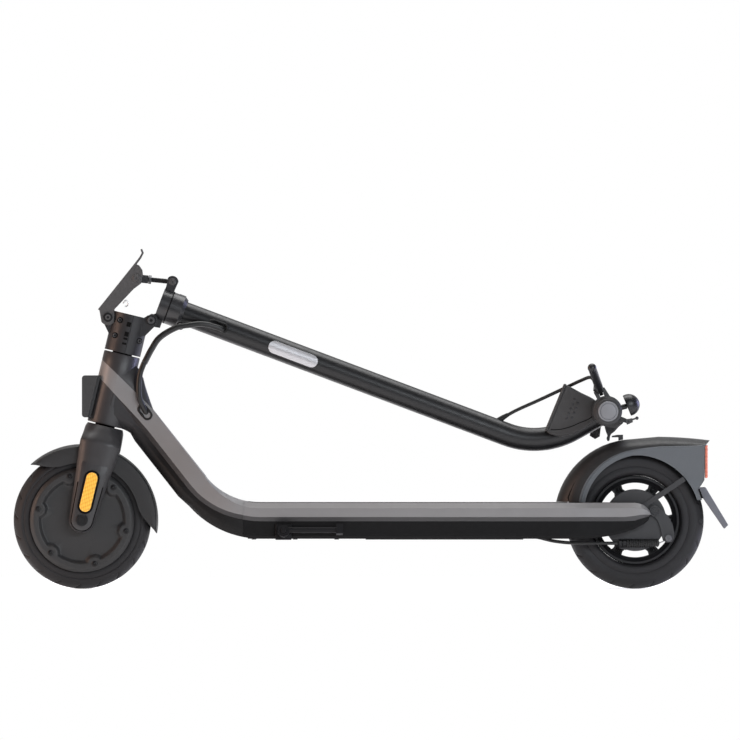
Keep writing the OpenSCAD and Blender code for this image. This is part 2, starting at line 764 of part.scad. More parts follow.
module dash_housing() {
    color("#202124") difference() {
        dash_frame() difference() {
            union() {
                slab(-44, 44) polygon(concat(arc([0, 0], 22, 90, 10, 8), [[27, 3], [27, -12], [12, -20]],
                    arc([0, 0], 22, 270, 225, 5)));
                slab_pair(24, 43.4) circle(22.8);
            }
            pin([0, 0], 16, -24.1, 24.1);
            pin([0, 0], 11.1, -50, 50);
            translate([25.5, -36, -9]) cube([3, 72, 9.5]);
        }
        slab(-6.5, 6.5) polygon([[359, 254], [380, 256], [380, 236], [350, 236], [356, 246]]);
        stem_frame() stem_end(stem_r + 0.05);
    }
    color("silver") pin(hook_pt, 2, -8, 8);
}
// Display lens in two halves beside the hook
module dash_lens() {
    color("#08090a") dash_frame() difference() {
        for (y = [-35.9, 8.2]) {
            translate([25.5, y, -8.9]) cube([2, 27.7, 9.3]);
        }
        translate([24, button_y, -4.2]) rotate([0, 90, 0]) cylinder(r = 3.9, h = 6);
    }
}
module power_button() {
    color("#c03028") dash_frame() translate([26.7, button_y, -4.2])
        rotate([0, 90, 0]) cylinder(r = 3.5, h = 2);
}
// Hook that holds the folded stem: pivot ring, curved arm and open nose
module fold_hook() {
    color("#3a3c40") difference() {
        union() {
            pin(hook_pt, 5.5, -5.8, 5.8);
            slab(-5.8, 5.8) polygon(concat(bow([373, 243.5], [358.4, 230], 2.5, 5),
                [[358.3, 226.8], [359.3, 226.2],
                [359.2, 223.7], [355.6, 222.4], [353.2, 224]], bow([353.4, 230], [364.2, 250], -1.5, 5)));
        }
        pin(hook_pt, 2 + fit, -20, 20);
    }
}
lever_pt = [343, -92, 296];
// Clamps of the brake lever and of the thumb throttle on the handlebar
module control_clamps() {
    color("#1e1f21") {
        difference() {
            union() {
                pin(bar_pt, 17, -98, -82);
                slab(-98, -86) polygon([[343, 276], [333, 294], [338, 302], [349, 302], [363, 280]]);
            }
            pin(bar_pt, 11.1, -110, -70);
            translate(lever_pt) rotate([0, 69.2, 0]) cube([28, 34, 6.4], center = true);
        }
        translate(lever_pt) rotate([0, 69.2, 0]) cylinder(r = 2, h = 14, center = true);
        translate([334.9, -88, 297.2]) rotate([0, 43.2, 84.3]) cylinder(r = 2.6, h = 16.4);
        difference() {
            pin(bar_pt, 17, 93, 99);
            pin(bar_pt, 11.1, 90, 110);
        }
    }
}
module brake_lever() {
    color("#17181a") translate(lever_pt) rotate([0, 69.2, 0]) {
        difference() {
            cylinder(r = 6.6, h = 5.6, center = true);
            cylinder(r = 2 + fit, h = 10, center = true);
        }
        translate([0, 0, -2.5]) linear_extrude(5) difference() {
            polygon([[-4, -5.2], [5, -4], [-6, -22], [-22, -50],
                [-30, -88], [-37, -88], [-31, -50], [-16, -20]]);
        }
        translate([-33.5, -89, 0]) sphere(r = 6.6, $fn = 32);
    }
}
bell_y = -66;
bell_axis_angle = 22.5;
strike_pt = [385, 251];
module bell() {
    color("#1c1d1f") {
        difference() {
            union() {
                pin(bar_pt, 16, bell_y - 5, bell_y + 5);
                translate([bar_pt.x, bell_y, bar_pt.y])
                    rotate([0, 90 - bell_axis_angle + 8, 0]) cylinder(r = 4, h = 30);
                slab(bell_y - 5, bell_y + 5)
                    polygon([[364, 262], [378, 257], [389, 252], [386, 247], [362, 256]]);
            }
            pin(bar_pt, 11.1, bell_y - 20, bell_y + 20);
        }
        translate([383, bell_y, 274.5]) rotate([0, 90 - bell_axis_angle, 0]) difference() {
            translate([0, 0, 3]) sphere(r = 16.5, $fn = 48);
            translate([0, 0, 3]) sphere(r = 14.5, $fn = 48);
            translate([0, 0, -50]) cube([100, 100, 100], center = true);
        }
        translate([383, bell_y, 274.5])
            rotate([0, 90 - bell_axis_angle, 0]) translate([0, 0, -6]) cylinder(r = 3, h = 24);
        pin(strike_pt, 1.5, bell_y - 8, bell_y - 4);
    }
}
module throttle_lever() {
    color("#1c1d1f") difference() {
        union() {
            pin(bar_pt, 18, 80, 92);
            slab(81, 91) polygon([[347, 252], [344, 228], [337, 224], [329, 229], [331, 240], [342, 256]]);
        }
        pin(bar_pt, 11.1 + fit, 70, 99);
    }
}
// Cable loop from the neck to the stem, parted where it leaves the steering base's side
module cable_loop_lower() {
    color("black") cord([[-338, -27, 266], [-343, -31, 276], [-347, -33, 287], [-348, -33, 303],
        [-346, -32, 322], [-340.6, -31.1, 337.2]], 4.2);
}
module cable_loop_upper() {
    color("black") cord([[-339.4, -30.9, 340.8], [-329, -30, 360], [-317, -29, 377], [-294, -28, 391],
        [-275, -27, 395], [-251, -25, 397], [-228, -21, 391]], 4.2);
}
// Brake cable from the lever to the top of the stem
module front_brake_cable() {
    color("black") cord([[336, -76, 310], [328, -62, 317], [314, -40, 312],
        [299, -22, 305], [280, -10, 296],
        [250, -4, 282], [215, 0, 266], [190, 0, 251]], 2.6);
}
module bell_striker() {
    color("#26282b") {
        difference() {
            union() {
                pin(strike_pt, 4, bell_y - 8, bell_y - 5.4);
                slab(bell_y - 8, bell_y - 5.4) polygon([[381, 254], [383, 246], [392, 250], [391, 256]]);
            }
            pin(strike_pt, 1.5 + fit, bell_y - 20, bell_y);
        }
        translate([389, bell_y - 6.7, 253]) rotate([0, 70, 0]) cylinder(r = 1.3, h = 9);
        translate([398, bell_y - 6.7, 256]) sphere(r = 2.6, $fn = 24);
    }
}
neck();
head_tube();
deck_frame();
rear_arms();
deck_mat();
bottom_cover();
cover_screws();
battery_pack();
controller_box();
charge_port();
charge_cap();
headlight_housing();
headlight_lens();
headset_bearings();
frame_grommet();
kickstand_bracket();
kickstand_leg();
rear_axle();
rear_tyre();
rear_rim();
brake_drum();
brake_shoes();
drum_brake_plate();
brake_arm();
rear_brake_cable();
rear_fender();
fender_brackets();
tail_light();
mud_flap();
fork();
fork_covers();
fork_reflectors();
front_axle();
front_fender();
motor_stator();
front_tyre();
hub_motor_shell();
hub_motor_covers();
hinge_base();
hinge_pins();
latch_lever();
link_rod();
stem_collar();
stem_tube();
stem_badge();
front_cowl();
handlebar();
grips();
fold_hook();
dash_housing();
dash_lens();
power_button();
control_clamps();
brake_lever();
bell();
bell_striker();
throttle_lever();
cable_loop_lower();
cable_loop_upper();
front_brake_cable();
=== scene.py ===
import json
import math

import bmesh
import bpy
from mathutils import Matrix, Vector
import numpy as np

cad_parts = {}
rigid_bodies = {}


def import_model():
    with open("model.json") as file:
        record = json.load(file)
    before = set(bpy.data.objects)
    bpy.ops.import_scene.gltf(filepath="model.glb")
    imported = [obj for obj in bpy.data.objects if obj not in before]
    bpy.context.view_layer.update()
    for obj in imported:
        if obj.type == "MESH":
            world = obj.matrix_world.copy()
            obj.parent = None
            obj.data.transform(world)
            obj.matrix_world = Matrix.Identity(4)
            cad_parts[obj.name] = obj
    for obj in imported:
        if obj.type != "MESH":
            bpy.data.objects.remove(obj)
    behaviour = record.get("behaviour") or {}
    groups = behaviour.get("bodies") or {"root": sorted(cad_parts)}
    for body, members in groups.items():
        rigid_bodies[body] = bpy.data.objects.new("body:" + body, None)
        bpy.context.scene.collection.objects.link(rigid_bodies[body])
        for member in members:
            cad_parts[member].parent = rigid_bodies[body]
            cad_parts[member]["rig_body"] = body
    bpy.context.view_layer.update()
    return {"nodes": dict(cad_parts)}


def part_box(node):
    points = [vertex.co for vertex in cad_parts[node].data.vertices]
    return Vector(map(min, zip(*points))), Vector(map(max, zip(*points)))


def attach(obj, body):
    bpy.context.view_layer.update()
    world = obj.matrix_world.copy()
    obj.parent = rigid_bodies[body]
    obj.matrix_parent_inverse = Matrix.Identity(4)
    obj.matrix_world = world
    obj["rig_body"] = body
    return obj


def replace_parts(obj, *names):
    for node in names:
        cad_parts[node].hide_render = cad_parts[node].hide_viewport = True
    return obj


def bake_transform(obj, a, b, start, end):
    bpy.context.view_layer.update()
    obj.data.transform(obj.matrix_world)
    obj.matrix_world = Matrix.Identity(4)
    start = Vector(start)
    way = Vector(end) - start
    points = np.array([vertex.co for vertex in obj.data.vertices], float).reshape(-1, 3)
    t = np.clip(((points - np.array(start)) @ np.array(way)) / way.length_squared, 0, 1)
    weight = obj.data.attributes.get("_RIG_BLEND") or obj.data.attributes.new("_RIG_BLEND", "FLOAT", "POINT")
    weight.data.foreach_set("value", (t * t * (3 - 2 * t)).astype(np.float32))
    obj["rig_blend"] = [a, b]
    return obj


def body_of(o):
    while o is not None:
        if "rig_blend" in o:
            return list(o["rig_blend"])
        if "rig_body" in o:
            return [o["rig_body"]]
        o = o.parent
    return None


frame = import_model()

MM = 0.001
NODES = frame["nodes"]


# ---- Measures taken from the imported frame, in millimetres ----

def low(node):
    return Vector(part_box(node)[0]) / MM


def high(node):
    return Vector(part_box(node)[1]) / MM


def middle(node):
    return (low(node) + high(node)) / 2


FRONT_HUB = middle("front_tyre")
REAR_HUB = middle("rear_tyre")
TYRE_R = (high("front_tyre").z - low("front_tyre").z) / 2
BAR = middle("handlebar")
DECK_TOP = high("deck_frame").z
DECK_BOTTOM = low("deck_frame").z
SEAM_X = low("deck_frame").x
HALF_DECK = high("deck_frame").y
LEAN = math.radians(13.5)
FOLD = math.radians(20.6)
NECK = math.radians(51.7)
# Distance of the stem's axis from the fold hinge, and radius of the stem
STEM_OFFSET = 27.5
STEM_R = 17.5
HEAD_R = 27.5


def steer(t, s, y=0.0):
    """Point t behind the steering axis, s along it from the front hub."""
    return Vector((FRONT_HUB.x + t * math.cos(LEAN) + s * math.sin(LEAN), y,
                   FRONT_HUB.z - t * math.sin(LEAN) + s * math.cos(LEAN)))


FOLD_HINGE = steer(30.7, 315.2)


def stem(a, b, y=0.0):
    """Point a along the folded stem from its hinge, b away from the hinge's line."""
    return Vector((FOLD_HINGE.x + a * math.cos(FOLD) + b * math.sin(FOLD), y,
                   FOLD_HINGE.z - a * math.sin(FOLD) + b * math.cos(FOLD)))


def around(hub, radius, degrees, y=0.0):
    """Point on a circle about a wheel hub, in the side view."""
    a = math.radians(degrees)
    return Vector((hub.x + radius * math.cos(a), y, hub.z + radius * math.sin(a)))


def hand(side):
    return "left" if side < 0 else "right"


def mix(a, b, f):
    return a + (b - a) * f


def ease(f):
    f = min(1.0, max(0.0, f))
    return f * f * (3 - 2 * f)


def along(points, f):
    """Point at fraction f of the polyline's length."""
    lengths = [(Vector(q) - Vector(p)).length for p, q in zip(points, points[1:])]
    left = f * sum(lengths)
    for p, q, d in zip(points, points[1:], lengths):
        if left <= d or q is points[-1]:
            return mix(Vector(p), Vector(q), min(1.0, left / d))
        left -= d


# ---- Camera, lights and stage ----

VIEW_WIDTH = 1.110
LENS = 1000.0
SENSOR = 36.0


def stand(name, data):
    """A new object in the scene."""
    obj = bpy.data.objects.new(name, data)
    bpy.context.scene.collection.objects.link(obj)
    return obj


def make_camera():
    """Long lens, level and square on to the left side."""
    data = bpy.data.cameras.new("camera")
    data.lens = LENS
    data.sensor_width = SENSOR
    data.clip_end = 100.0
    camera = stand("camera", data)
    camera.location = (-0.0015, -VIEW_WIDTH * LENS / SENSOR, 0.328)
    camera.rotation_euler = (math.radians(90), 0, 0)
    bpy.context.scene.camera = camera


def area_light(name, place, target, size, power, color):
    """Rectangular light at a place, turned to its target."""
    data = bpy.data.lights.new(name, "AREA")
    data.shape = "RECTANGLE"
    data.size, data.size_y = size
    data.energy = power
    data.color = color
    light = stand(name, data)
    light.location = place
    light.rotation_euler = (Vector(target) - Vector(place)).to_track_quat("-Z", "Y").to_euler()


def make_lights():
    centre = (0.0, 0.0, 0.25)
    area_light("key", (1.6, -3.0, 1.15), centre, (2.4, 1.0), 66, (0.90, 0.95, 1.0))
    area_light("warm", (-3.0, -0.7, 0.9), centre, (1.4, 1.6), 44, (1.0, 0.64, 0.48))
    area_light("cool", (2.9, 1.3, 0.8), centre, (1.2, 1.6), 48, (0.58, 0.60, 1.0))
    area_light("top", (0.0, 0.5, 3.0), (0, 0, 0), (3.0, 2.0), 95, (1.0, 1.0, 1.0))


def make_world():
    """White behind the object, dim grey round it for the light and the reflections."""
    world = bpy.data.worlds.new("studio")
    bpy.context.scene.world = world
    world.use_nodes = True
    tree = world.node_tree
    tree.nodes.clear()
    seen = add(tree, "Background", Color=(1, 1, 1, 1), Strength=1.0)
    lit = add(tree, "Background", Strength=0.55)
    where = add(tree, "TexCoord")
    parts = add(tree, "SeparateXYZ")
    behind = add(tree, "MapRange", From_Min=0.2, From_Max=0.95, To_Min=0.04, To_Max=1.3)
    path = add(tree, "LightPath")
    choose = add(tree, "MixShader")
    out = add(tree, "OutputWorld")
    join = tree.links.new
    join(where.outputs["Generated"], parts.inputs[0])
    join(parts.outputs["Y"], behind.inputs["Value"])
    join(behind.outputs["Result"], lit.inputs["Color"])
    join(path.outputs["Is Camera Ray"], choose.inputs[0])
    join(lit.outputs[0], choose.inputs[1])
    join(seen.outputs[0], choose.inputs[2])
    join(choose.outputs[0], out.inputs["Surface"])


def make_floor():
    """Pale floor round the object, bright enough to meet the white background."""
    size = 1.6
    mesh = bpy.data.meshes.new("floor")
    mesh.from_pydata([(-size, -size, 0), (size, -size, 0), (size, size, 0), (-size, size, 0)], [],
                     [(0, 1, 2, 3)])
    floor = stand("floor", mesh)
    pale = finish("floor", (0.86, 0.86, 0.87), 0.8, grain=60, bump=0.02)
    put(pale.node_tree.nodes["Principled BSDF"], Emission_Color=(1.0, 1.0, 1.0, 1.0),
        Emission_Strength=0.55)
    floor.data.materials.append(pale)
    bpy.context.scene.view_settings.view_transform = "Standard"


# ---- Materials ----

def put(node, **settings):
    """Sets a node: capitalised settings are its inputs, the others its attributes."""
    for key, value in settings.items():
        if key[0].isupper():
            node.inputs[key.replace("_", " ")].default_value = value
        else:
            setattr(node, key, value)
    return node


def add(tree, kind, **settings):
    return put(tree.nodes.new("ShaderNode" + kind), **settings)


def placed(tree, kind, place, **settings):
    """A shader node read at the given coordinates."""
    node = add(tree, kind, **settings)
    tree.links.new(place, node.inputs["Vector"])
    return node


def scaled(tone, factor):
    return tuple(c * factor for c in tone)


def blank(name, rough, metal=0.0, coat=0.0):
    """A new material, its node tree, its shader and the object coordinates."""
    material = bpy.data.materials.new(name)
    material.use_nodes = True
    tree = material.node_tree
    shader = tree.nodes["Principled BSDF"]
    put(shader, Metallic=metal, Roughness=rough, Coat_Weight=coat, Coat_Roughness=0.25)
    place = add(tree, "TexCoord").outputs["Object"]
    return material, tree, shader, place


def tint(tree, factor, dark, light, target):
    """Colours a socket between two tones by a factor."""
    ramp = add(tree, "Mix", data_type="RGBA", A=(*dark, 1.0), B=(*light, 1.0))
    tree.links.new(factor, ramp.inputs["Factor"])
    tree.links.new(ramp.outputs["Result"], target)


def spread(tree, factor, start, end, target):
    """Maps a factor to a socket's range."""
    node = add(tree, "MapRange", From_Min=0.3, From_Max=0.7, To_Min=start, To_Max=end)
    tree.links.new(factor, node.inputs["Value"])
    tree.links.new(node.outputs["Result"], target)


def bump_of(tree, height, shader, strength, depth):
    bump = add(tree, "Bump", Strength=strength, Distance=depth)
    tree.links.new(height, bump.inputs["Height"])
    tree.links.new(bump.outputs["Normal"], shader.inputs["Normal"])


def finish(name, tone, rough, metal=0.0, grain=1500, bump=0.12, mottle=0.10, coat=0.0,
           stretch=None, shine=0.5):
    """Paint, plastic or metal: mottled tone and sheen over a fine grain, drawn out if brushed."""
    material, tree, shader, place = blank(name, rough, metal, coat)
    put(shader, Specular_IOR_Level=shine)
    drawn = placed(tree, "Mapping", place, Scale=stretch).outputs["Vector"] if stretch else place
    cloud = placed(tree, "TexNoise", place, Scale=22, Detail=5, Roughness=0.6)
    patch = placed(tree, "TexNoise", place, Scale=130, Detail=3, Roughness=0.5)
    fine = placed(tree, "TexNoise", drawn, Scale=grain, Detail=2, Roughness=0.55)
    tint(tree, cloud.outputs["Fac"], scaled(tone, 1 - mottle), scaled(tone, 1 + mottle),
         shader.inputs["Base Color"])
    spread(tree, patch.outputs["Fac"], rough - 0.05, rough + 0.05, shader.inputs["Roughness"])
    bump_of(tree, fine.outputs["Fac"], shader, bump, 0.0004)
    return material


def fading(name, near, far, start, end, **settings):
    """A finish whose tone turns from near to far between two values of x."""
    material = finish(name, near, **settings)
    tree = material.node_tree
    target = tree.nodes["Principled BSDF"].inputs["Base Color"]
    mottled = target.links[0].from_socket
    parts = add(tree, "SeparateXYZ")
    share = add(tree, "MapRange", From_Min=start * MM, From_Max=end * MM)
    blend = add(tree, "Mix", data_type="RGBA", B=(*far, 1.0))
    place = next(node for node in tree.nodes if node.bl_idname == "ShaderNodeTexCoord").outputs["Object"]
    tree.links.new(place, parts.inputs[0])
    tree.links.new(parts.outputs["X"], share.inputs["Value"])
    tree.links.new(share.outputs["Result"], blend.inputs["Factor"])
    tree.links.new(mottled, blend.inputs["A"])
    tree.links.new(blend.outputs["Result"], target)
    return material


def tyre_rubber(name):
    """Matt rubber with dusty patches and the fine rings of its mould."""
    material, tree, shader, place = blank(name, 0.62)
    dust = placed(tree, "TexNoise", place, Scale=35, Detail=6, Roughness=0.7)
    pores = placed(tree, "TexVoronoi", place, Scale=900)
    grit = placed(tree, "TexNoise", place, Scale=700, Detail=4)
    both = add(tree, "Math", operation="ADD")
    tree.links.new(pores.outputs["Distance"], both.inputs[0])
    tree.links.new(grit.outputs["Fac"], both.inputs[1])
    tint(tree, dust.outputs["Fac"], (0.014, 0.014, 0.016), (0.027, 0.026, 0.027),
         shader.inputs["Base Color"])
    put(shader, Specular_IOR_Level=0.25)
    spread(tree, dust.outputs["Fac"], 0.52, 0.72, shader.inputs["Roughness"])
    bump_of(tree, both.outputs[0], shader, 0.25, 0.0003)
    return material


def ribbed_rubber(name, tone, pitch):
    """Soft grip rubber with fine moulded ribs."""
    material, tree, shader, place = blank(name, 0.7)
    ribs = placed(tree, "TexWave", place, wave_type="BANDS", bands_direction="Y", Scale=pitch,
                  Distortion=0.2)
    grit = placed(tree, "TexNoise", place, Scale=600, Detail=4)
    tint(tree, grit.outputs["Fac"], scaled(tone, 0.8), scaled(tone, 1.25), shader.inputs["Base Color"])
    bump_of(tree, ribs.outputs["Fac"], shader, 0.35, 0.0006)
    return material


def prism_lens(name, dark, light, cell, glow, tilt=0.0):
    """Reflector or lamp lens: small prisms under a clear skin, glowing faintly; on the reflectors, which are
    no lamps, the glow is painted light.
    """
    material, tree, shader, place = blank(name, 0.18, coat=1.0)
    turned = placed(tree, "Mapping", place, Rotation=(0, tilt, 0), Scale=(1.0, 0.05, 0.6)).outputs[0]
    prisms = placed(tree, "TexVoronoi", turned, Scale=cell, Randomness=0.15)
    sparkle = placed(tree, "TexVoronoi", turned, Scale=cell, Randomness=0.15, feature="DISTANCE_TO_EDGE")
    for socket in ("Base Color", "Emission Color"):
        tint(tree, prisms.outputs["Distance"], light, dark, shader.inputs[socket])
    put(shader, Emission_Strength=glow, Coat_Roughness=0.06)
    bump_of(tree, sparkle.outputs["Distance"], shader, 0.5, 0.0006)
    return material


def glass_like(name, tone, rough, coat=1.0):
    """Dark glossy screen or lens, faintly uneven and finely scuffed."""
    material, tree, shader, place = blank(name, rough, coat=coat)
    cloud = placed(tree, "TexNoise", place, Scale=90, Detail=3)
    scuff = placed(tree, "TexNoise", place, Scale=400, Detail=5, Roughness=0.7)
    tint(tree, cloud.outputs["Fac"], scaled(tone, 0.85), scaled(tone, 1.15), shader.inputs["Base Color"])
    spread(tree, scuff.outputs["Fac"], rough * 0.7, rough * 1.6, shader.inputs["Roughness"])
    put(shader, Coat_Roughness=0.04)
    bump_of(tree, scuff.outputs["Fac"], shader, 0.03, 0.0002)
    return material


def deck_rubber(name):
    """Anti-slip mat: small diamond pimples in dark rubber."""
    material, tree, shader, place = blank(name, 0.75)
    turned = placed(tree, "Mapping", place, Rotation=(0, 0, math.radians(45))).outputs[0]
    pimples = placed(tree, "TexVoronoi", turned, Scale=260, Randomness=0.0, distance="CHEBYCHEV")
    dust = placed(tree, "TexNoise", place, Scale=30, Detail=6, Roughness=0.7)
    tint(tree, dust.outputs["Fac"], (0.012, 0.012, 0.013), (0.026, 0.026, 0.027),
         shader.inputs["Base Color"])
    spread(tree, dust.outputs["Fac"], 0.65, 0.85, shader.inputs["Roughness"])
    bump_of(tree, pimples.outputs["Distance"], shader, 0.6, 0.0008)
    return material


def make_materials():
    brushed = (1.0, 30.0, 1.0)
    shell, black = (0.030, 0.029, 0.031), (0.006, 0.006, 0.0064)
    return {
        "grey": finish("grey", (0.185, 0.181, 0.183), 0.46, grain=1300, bump=0.10, coat=0.12),
        "shell": finish("shell", shell, 0.46, grain=1300, bump=0.10, coat=0.08, shine=0.4),
        "under": finish("under", black, 0.58, grain=1000, bump=0.15, shine=0.12),
        # The shaded chamfer is the grey paint darkened: painted shade on the downward-facing lower chamfer
        # of the deck and the rear arms.
        "shaded_chamfer": finish("shaded_chamfer", (0.055, 0.054, 0.056), 0.46, grain=1300, bump=0.10, coat=0.10,
                          shine=0.3),
        "neck_under": fading("neck_under", shell, black, -362, -318, rough=0.52, grain=1100, bump=0.12,
                             shine=0.2),
        "stem": finish("stem", (0.009, 0.009, 0.010), 0.38, grain=1500, bump=0.06, coat=0.05, shine=0.4),
        "cast": finish("cast", (0.022, 0.022, 0.024), 0.45, grain=700, bump=0.22, shine=0.35),
        "collar": finish("collar", (0.020, 0.020, 0.022), 0.36, grain=700, bump=0.15, coat=0.1),
        "stand": finish("stand", (0.007, 0.007, 0.008), 0.50, grain=700, bump=0.22, shine=0.15),
        "lever": finish("lever", (0.062, 0.060, 0.061), 0.48, grain=650, bump=0.22),
        "fender": finish("fender", (0.020, 0.020, 0.021), 0.48, grain=850, bump=0.16, shine=0.35),
        # A lighter, bluer copy of the fender plastic: painted light on the rear fender's flat sides.
        "fender_side_painted_light": finish("fender_side_painted_light", (0.080, 0.087, 0.096), 0.50, grain=850, bump=0.16),
        "plastic": finish("plastic", (0.030, 0.030, 0.031), 0.52, grain=900, bump=0.18),
        "cowl": finish("cowl", (0.030, 0.028, 0.028), 0.55, grain=900, bump=0.18),
        "hub": finish("hub", (0.028, 0.028, 0.029), 0.48, grain=800, bump=0.15, shine=0.35),
        "rim": finish("rim", (0.009, 0.009, 0.010), 0.42, grain=800, bump=0.12, shine=0.25),
        "plate": finish("plate", (0.034, 0.034, 0.036), 0.50, grain=500, bump=0.25, shine=0.3),
        "flap": finish("flap", (0.110, 0.112, 0.130), 0.60, grain=500, bump=0.20),
        "rubber": finish("rubber", (0.008, 0.008, 0.008), 0.55, grain=700, bump=0.20, shine=0.25),
        "cable": finish("cable", (0.012, 0.012, 0.012), 0.36, grain=1200, bump=0.10, shine=0.35),
        # Near-black with little sheen: painted shade in screw sockets, hinge slots, the collar groove, the
        # line round the fork covers, the steerer and the rear fender's wheel well; the real black of the
        # reflector frames and the cowl's seams.
        "dark": finish("dark", (0.004, 0.004, 0.004), 0.60, grain=900, bump=0.20, shine=0.06),
        "steel": finish("steel", (0.50, 0.50, 0.51), 0.30, 1.0, grain=900, bump=0.08, stretch=brushed),
        "alloy": finish("alloy", (0.62, 0.62, 0.64), 0.42, 1.0, grain=600, bump=0.15),
        "bolt": finish("bolt", (0.10, 0.10, 0.105), 0.38, 0.7, grain=900, bump=0.10),
        "badge": finish("badge", (0.52, 0.52, 0.54), 0.36, 0.5, grain=900, bump=0.10,
                        stretch=(1.0, 1.0, 26.0)),
        "cap": finish("cap", (0.185, 0.185, 0.196), 0.42, 0.2, grain=900, bump=0.10),
        "copper": finish("copper", (0.55, 0.24, 0.10), 0.35, 1.0, grain=700, stretch=brushed),
        "lining": finish("lining", (0.20, 0.15, 0.10), 0.80, grain=400, bump=0.3),
        "wrap": finish("wrap", (0.03, 0.09, 0.20), 0.30, grain=300, bump=0.15),
        "tyre": tyre_rubber("tyre"),
        "mat": deck_rubber("mat"),
        "grip": ribbed_rubber("grip", (0.022, 0.022, 0.023), 55),
        "bellows": ribbed_rubber("bellows", (0.012, 0.012, 0.012), 80),
        # The amber reflectors glow at 0.16: painted light, as a reflector is no lamp.
        "amber": prism_lens("amber", (0.62, 0.20, 0.01), (1.0, 0.62, 0.10), 300, 0.16, LEAN),
        "red": prism_lens("red", (0.50, 0.08, 0.05), (0.95, 0.42, 0.30), 300, 0.22),
        "clear": glass_like("clear", (0.55, 0.57, 0.60), 0.12),
        "screen": glass_like("screen", (0.008, 0.009, 0.011), 0.10),
    }


# ---- Mesh toolkit ----

def settle(obj, material, body, crease=32.0, zone=None):
    """Shades a piece, gives it its materials and lets it ride on its body."""
    mesh = obj.data
    names = [material] if isinstance(material, str) else material
    for name in names:
        mesh.materials.append(PALETTE[name])
    if zone:
        for face in mesh.polygons:
            face.material_index = zone(face.center / MM, face.normal)
    mesh.shade_smooth()
    mesh.set_sharp_from_angle(angle=math.radians(crease))
    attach(obj, body)
    return obj


def piece(name, form, material, body, crease=32.0, zone=None):
    """A new closed mesh from a form: its points, in millimetres, and its faces."""
    points, faces = form
    mesh = bpy.data.meshes.new(name)
    mesh.from_pydata([Vector(p) * MM for p in points], [], faces)
    work = bmesh.new()
    work.from_mesh(mesh)
    bmesh.ops.remove_doubles(work, verts=work.verts, dist=1e-6)
    bmesh.ops.recalc_face_normals(work, faces=work.faces)
    work.to_mesh(mesh)
    work.free()
    return settle(stand(name, mesh), material, body, crease, zone)


def skin(rows, ring=False, tube=False, caps=True):
    """Faces over a grid of points: ring joins the last row to the first, tube closes each row."""
    count = len(rows[0])
    points = [p for row in rows for p in row]
    across = count if tube else count - 1
    down = len(rows) if ring else len(rows) - 1
    faces = []
    for i in range(down):
        a = i * count
        b = (i + 1) % len(rows) * count
        for j in range(across):
            k = (j + 1) % count
            faces.append((a + j, a + k, b + k, b + j))
    if tube and caps and not ring:
        faces.append(tuple(range(count - 1, -1, -1)))
        faces.append(tuple(range(len(points) - count, len(points))))
    return points, faces


def both_sides(half):
    """Closed ring from (point, y) pairs for its left half, top middle to lower middle."""
    return ([Vector((p.x, -y, p.z)) for p, y in half]
            + [Vector((p.x, y, p.z)) for p, y in reversed(half[1:-1])])


def slab(outline, y0, y1):
    """Prism of a side-view outline (x, z) between two values of y."""
    return skin([[(x, y, z) for x, z in outline] for y in (y0, y1)], tube=True)


def lathe(profile, origin, axis, steps=96, closed=True):
    """Solid turned from (radius, height) points about an axis."""
    turn = Vector((0, 0, 1)).rotation_difference(Vector(axis)).to_matrix()
    rows = []
    for i in range(steps):
        a = 2 * math.pi * i / steps
        rows.append([Vector(origin) + turn @ Vector((r * math.cos(a), r * math.sin(a), h))
                     for r, h in profile])
    return skin(rows, ring=True, tube=closed)


def smooth_path(points, per=6):
    """Catmull-Rom curve through the points."""
    p = [Vector(q) for q in points]
    p = [p[0] * 2 - p[1]] + p + [p[-1] * 2 - p[-2]]
    out = []
    for a, b, c, d in zip(p, p[1:], p[2:], p[3:]):
        for i in range(per):
            f = i / per
            out.append(0.5 * (2 * b + (c - a) * f + (2 * a - 5 * b + 4 * c - d) * f * f
                              + (3 * b - a - 3 * c + d) * f ** 3))
    out.append(p[-2])
    return out


def sweep(path, radius, sides=14, widen=None):
    """Round tube along a path: one radius or one for each point, widened by (direction, factor)."""
    radii = [radius] * len(path) if isinstance(radius, (int, float)) else radius
    side = None
    rows = []
    for i, here in enumerate(path):
        way = (path[min(i + 1, len(path) - 1)] - path[max(i - 1, 0)]).normalized()
        side = way.orthogonal() if side is None else side - way * side.dot(way)
        side.normalize()
        other = way.cross(side)
        offsets = [radii[i] * (math.cos(a) * side + math.sin(a) * other)
                   for a in (2 * math.pi * k / sides for k in range(sides))]
        if widen:
            offsets = [o + widen[0] * o.dot(widen[0]) * (widen[1] - 1) for o in offsets]
        rows.append([here + o for o in offsets])
    return skin(rows, tube=True)


def soften(obj, width, segments=3, angle=30.0):
    """Rounds a piece's sharp edges."""
    bevel = obj.modifiers.new("round", "BEVEL")
    bevel.width = width * MM
    bevel.segments = segments
    bevel.limit_method = "ANGLE"
    bevel.angle_limit = math.radians(angle)
    bevel.harden_normals = True
    bevel.use_clamp_overlap = True
    return obj


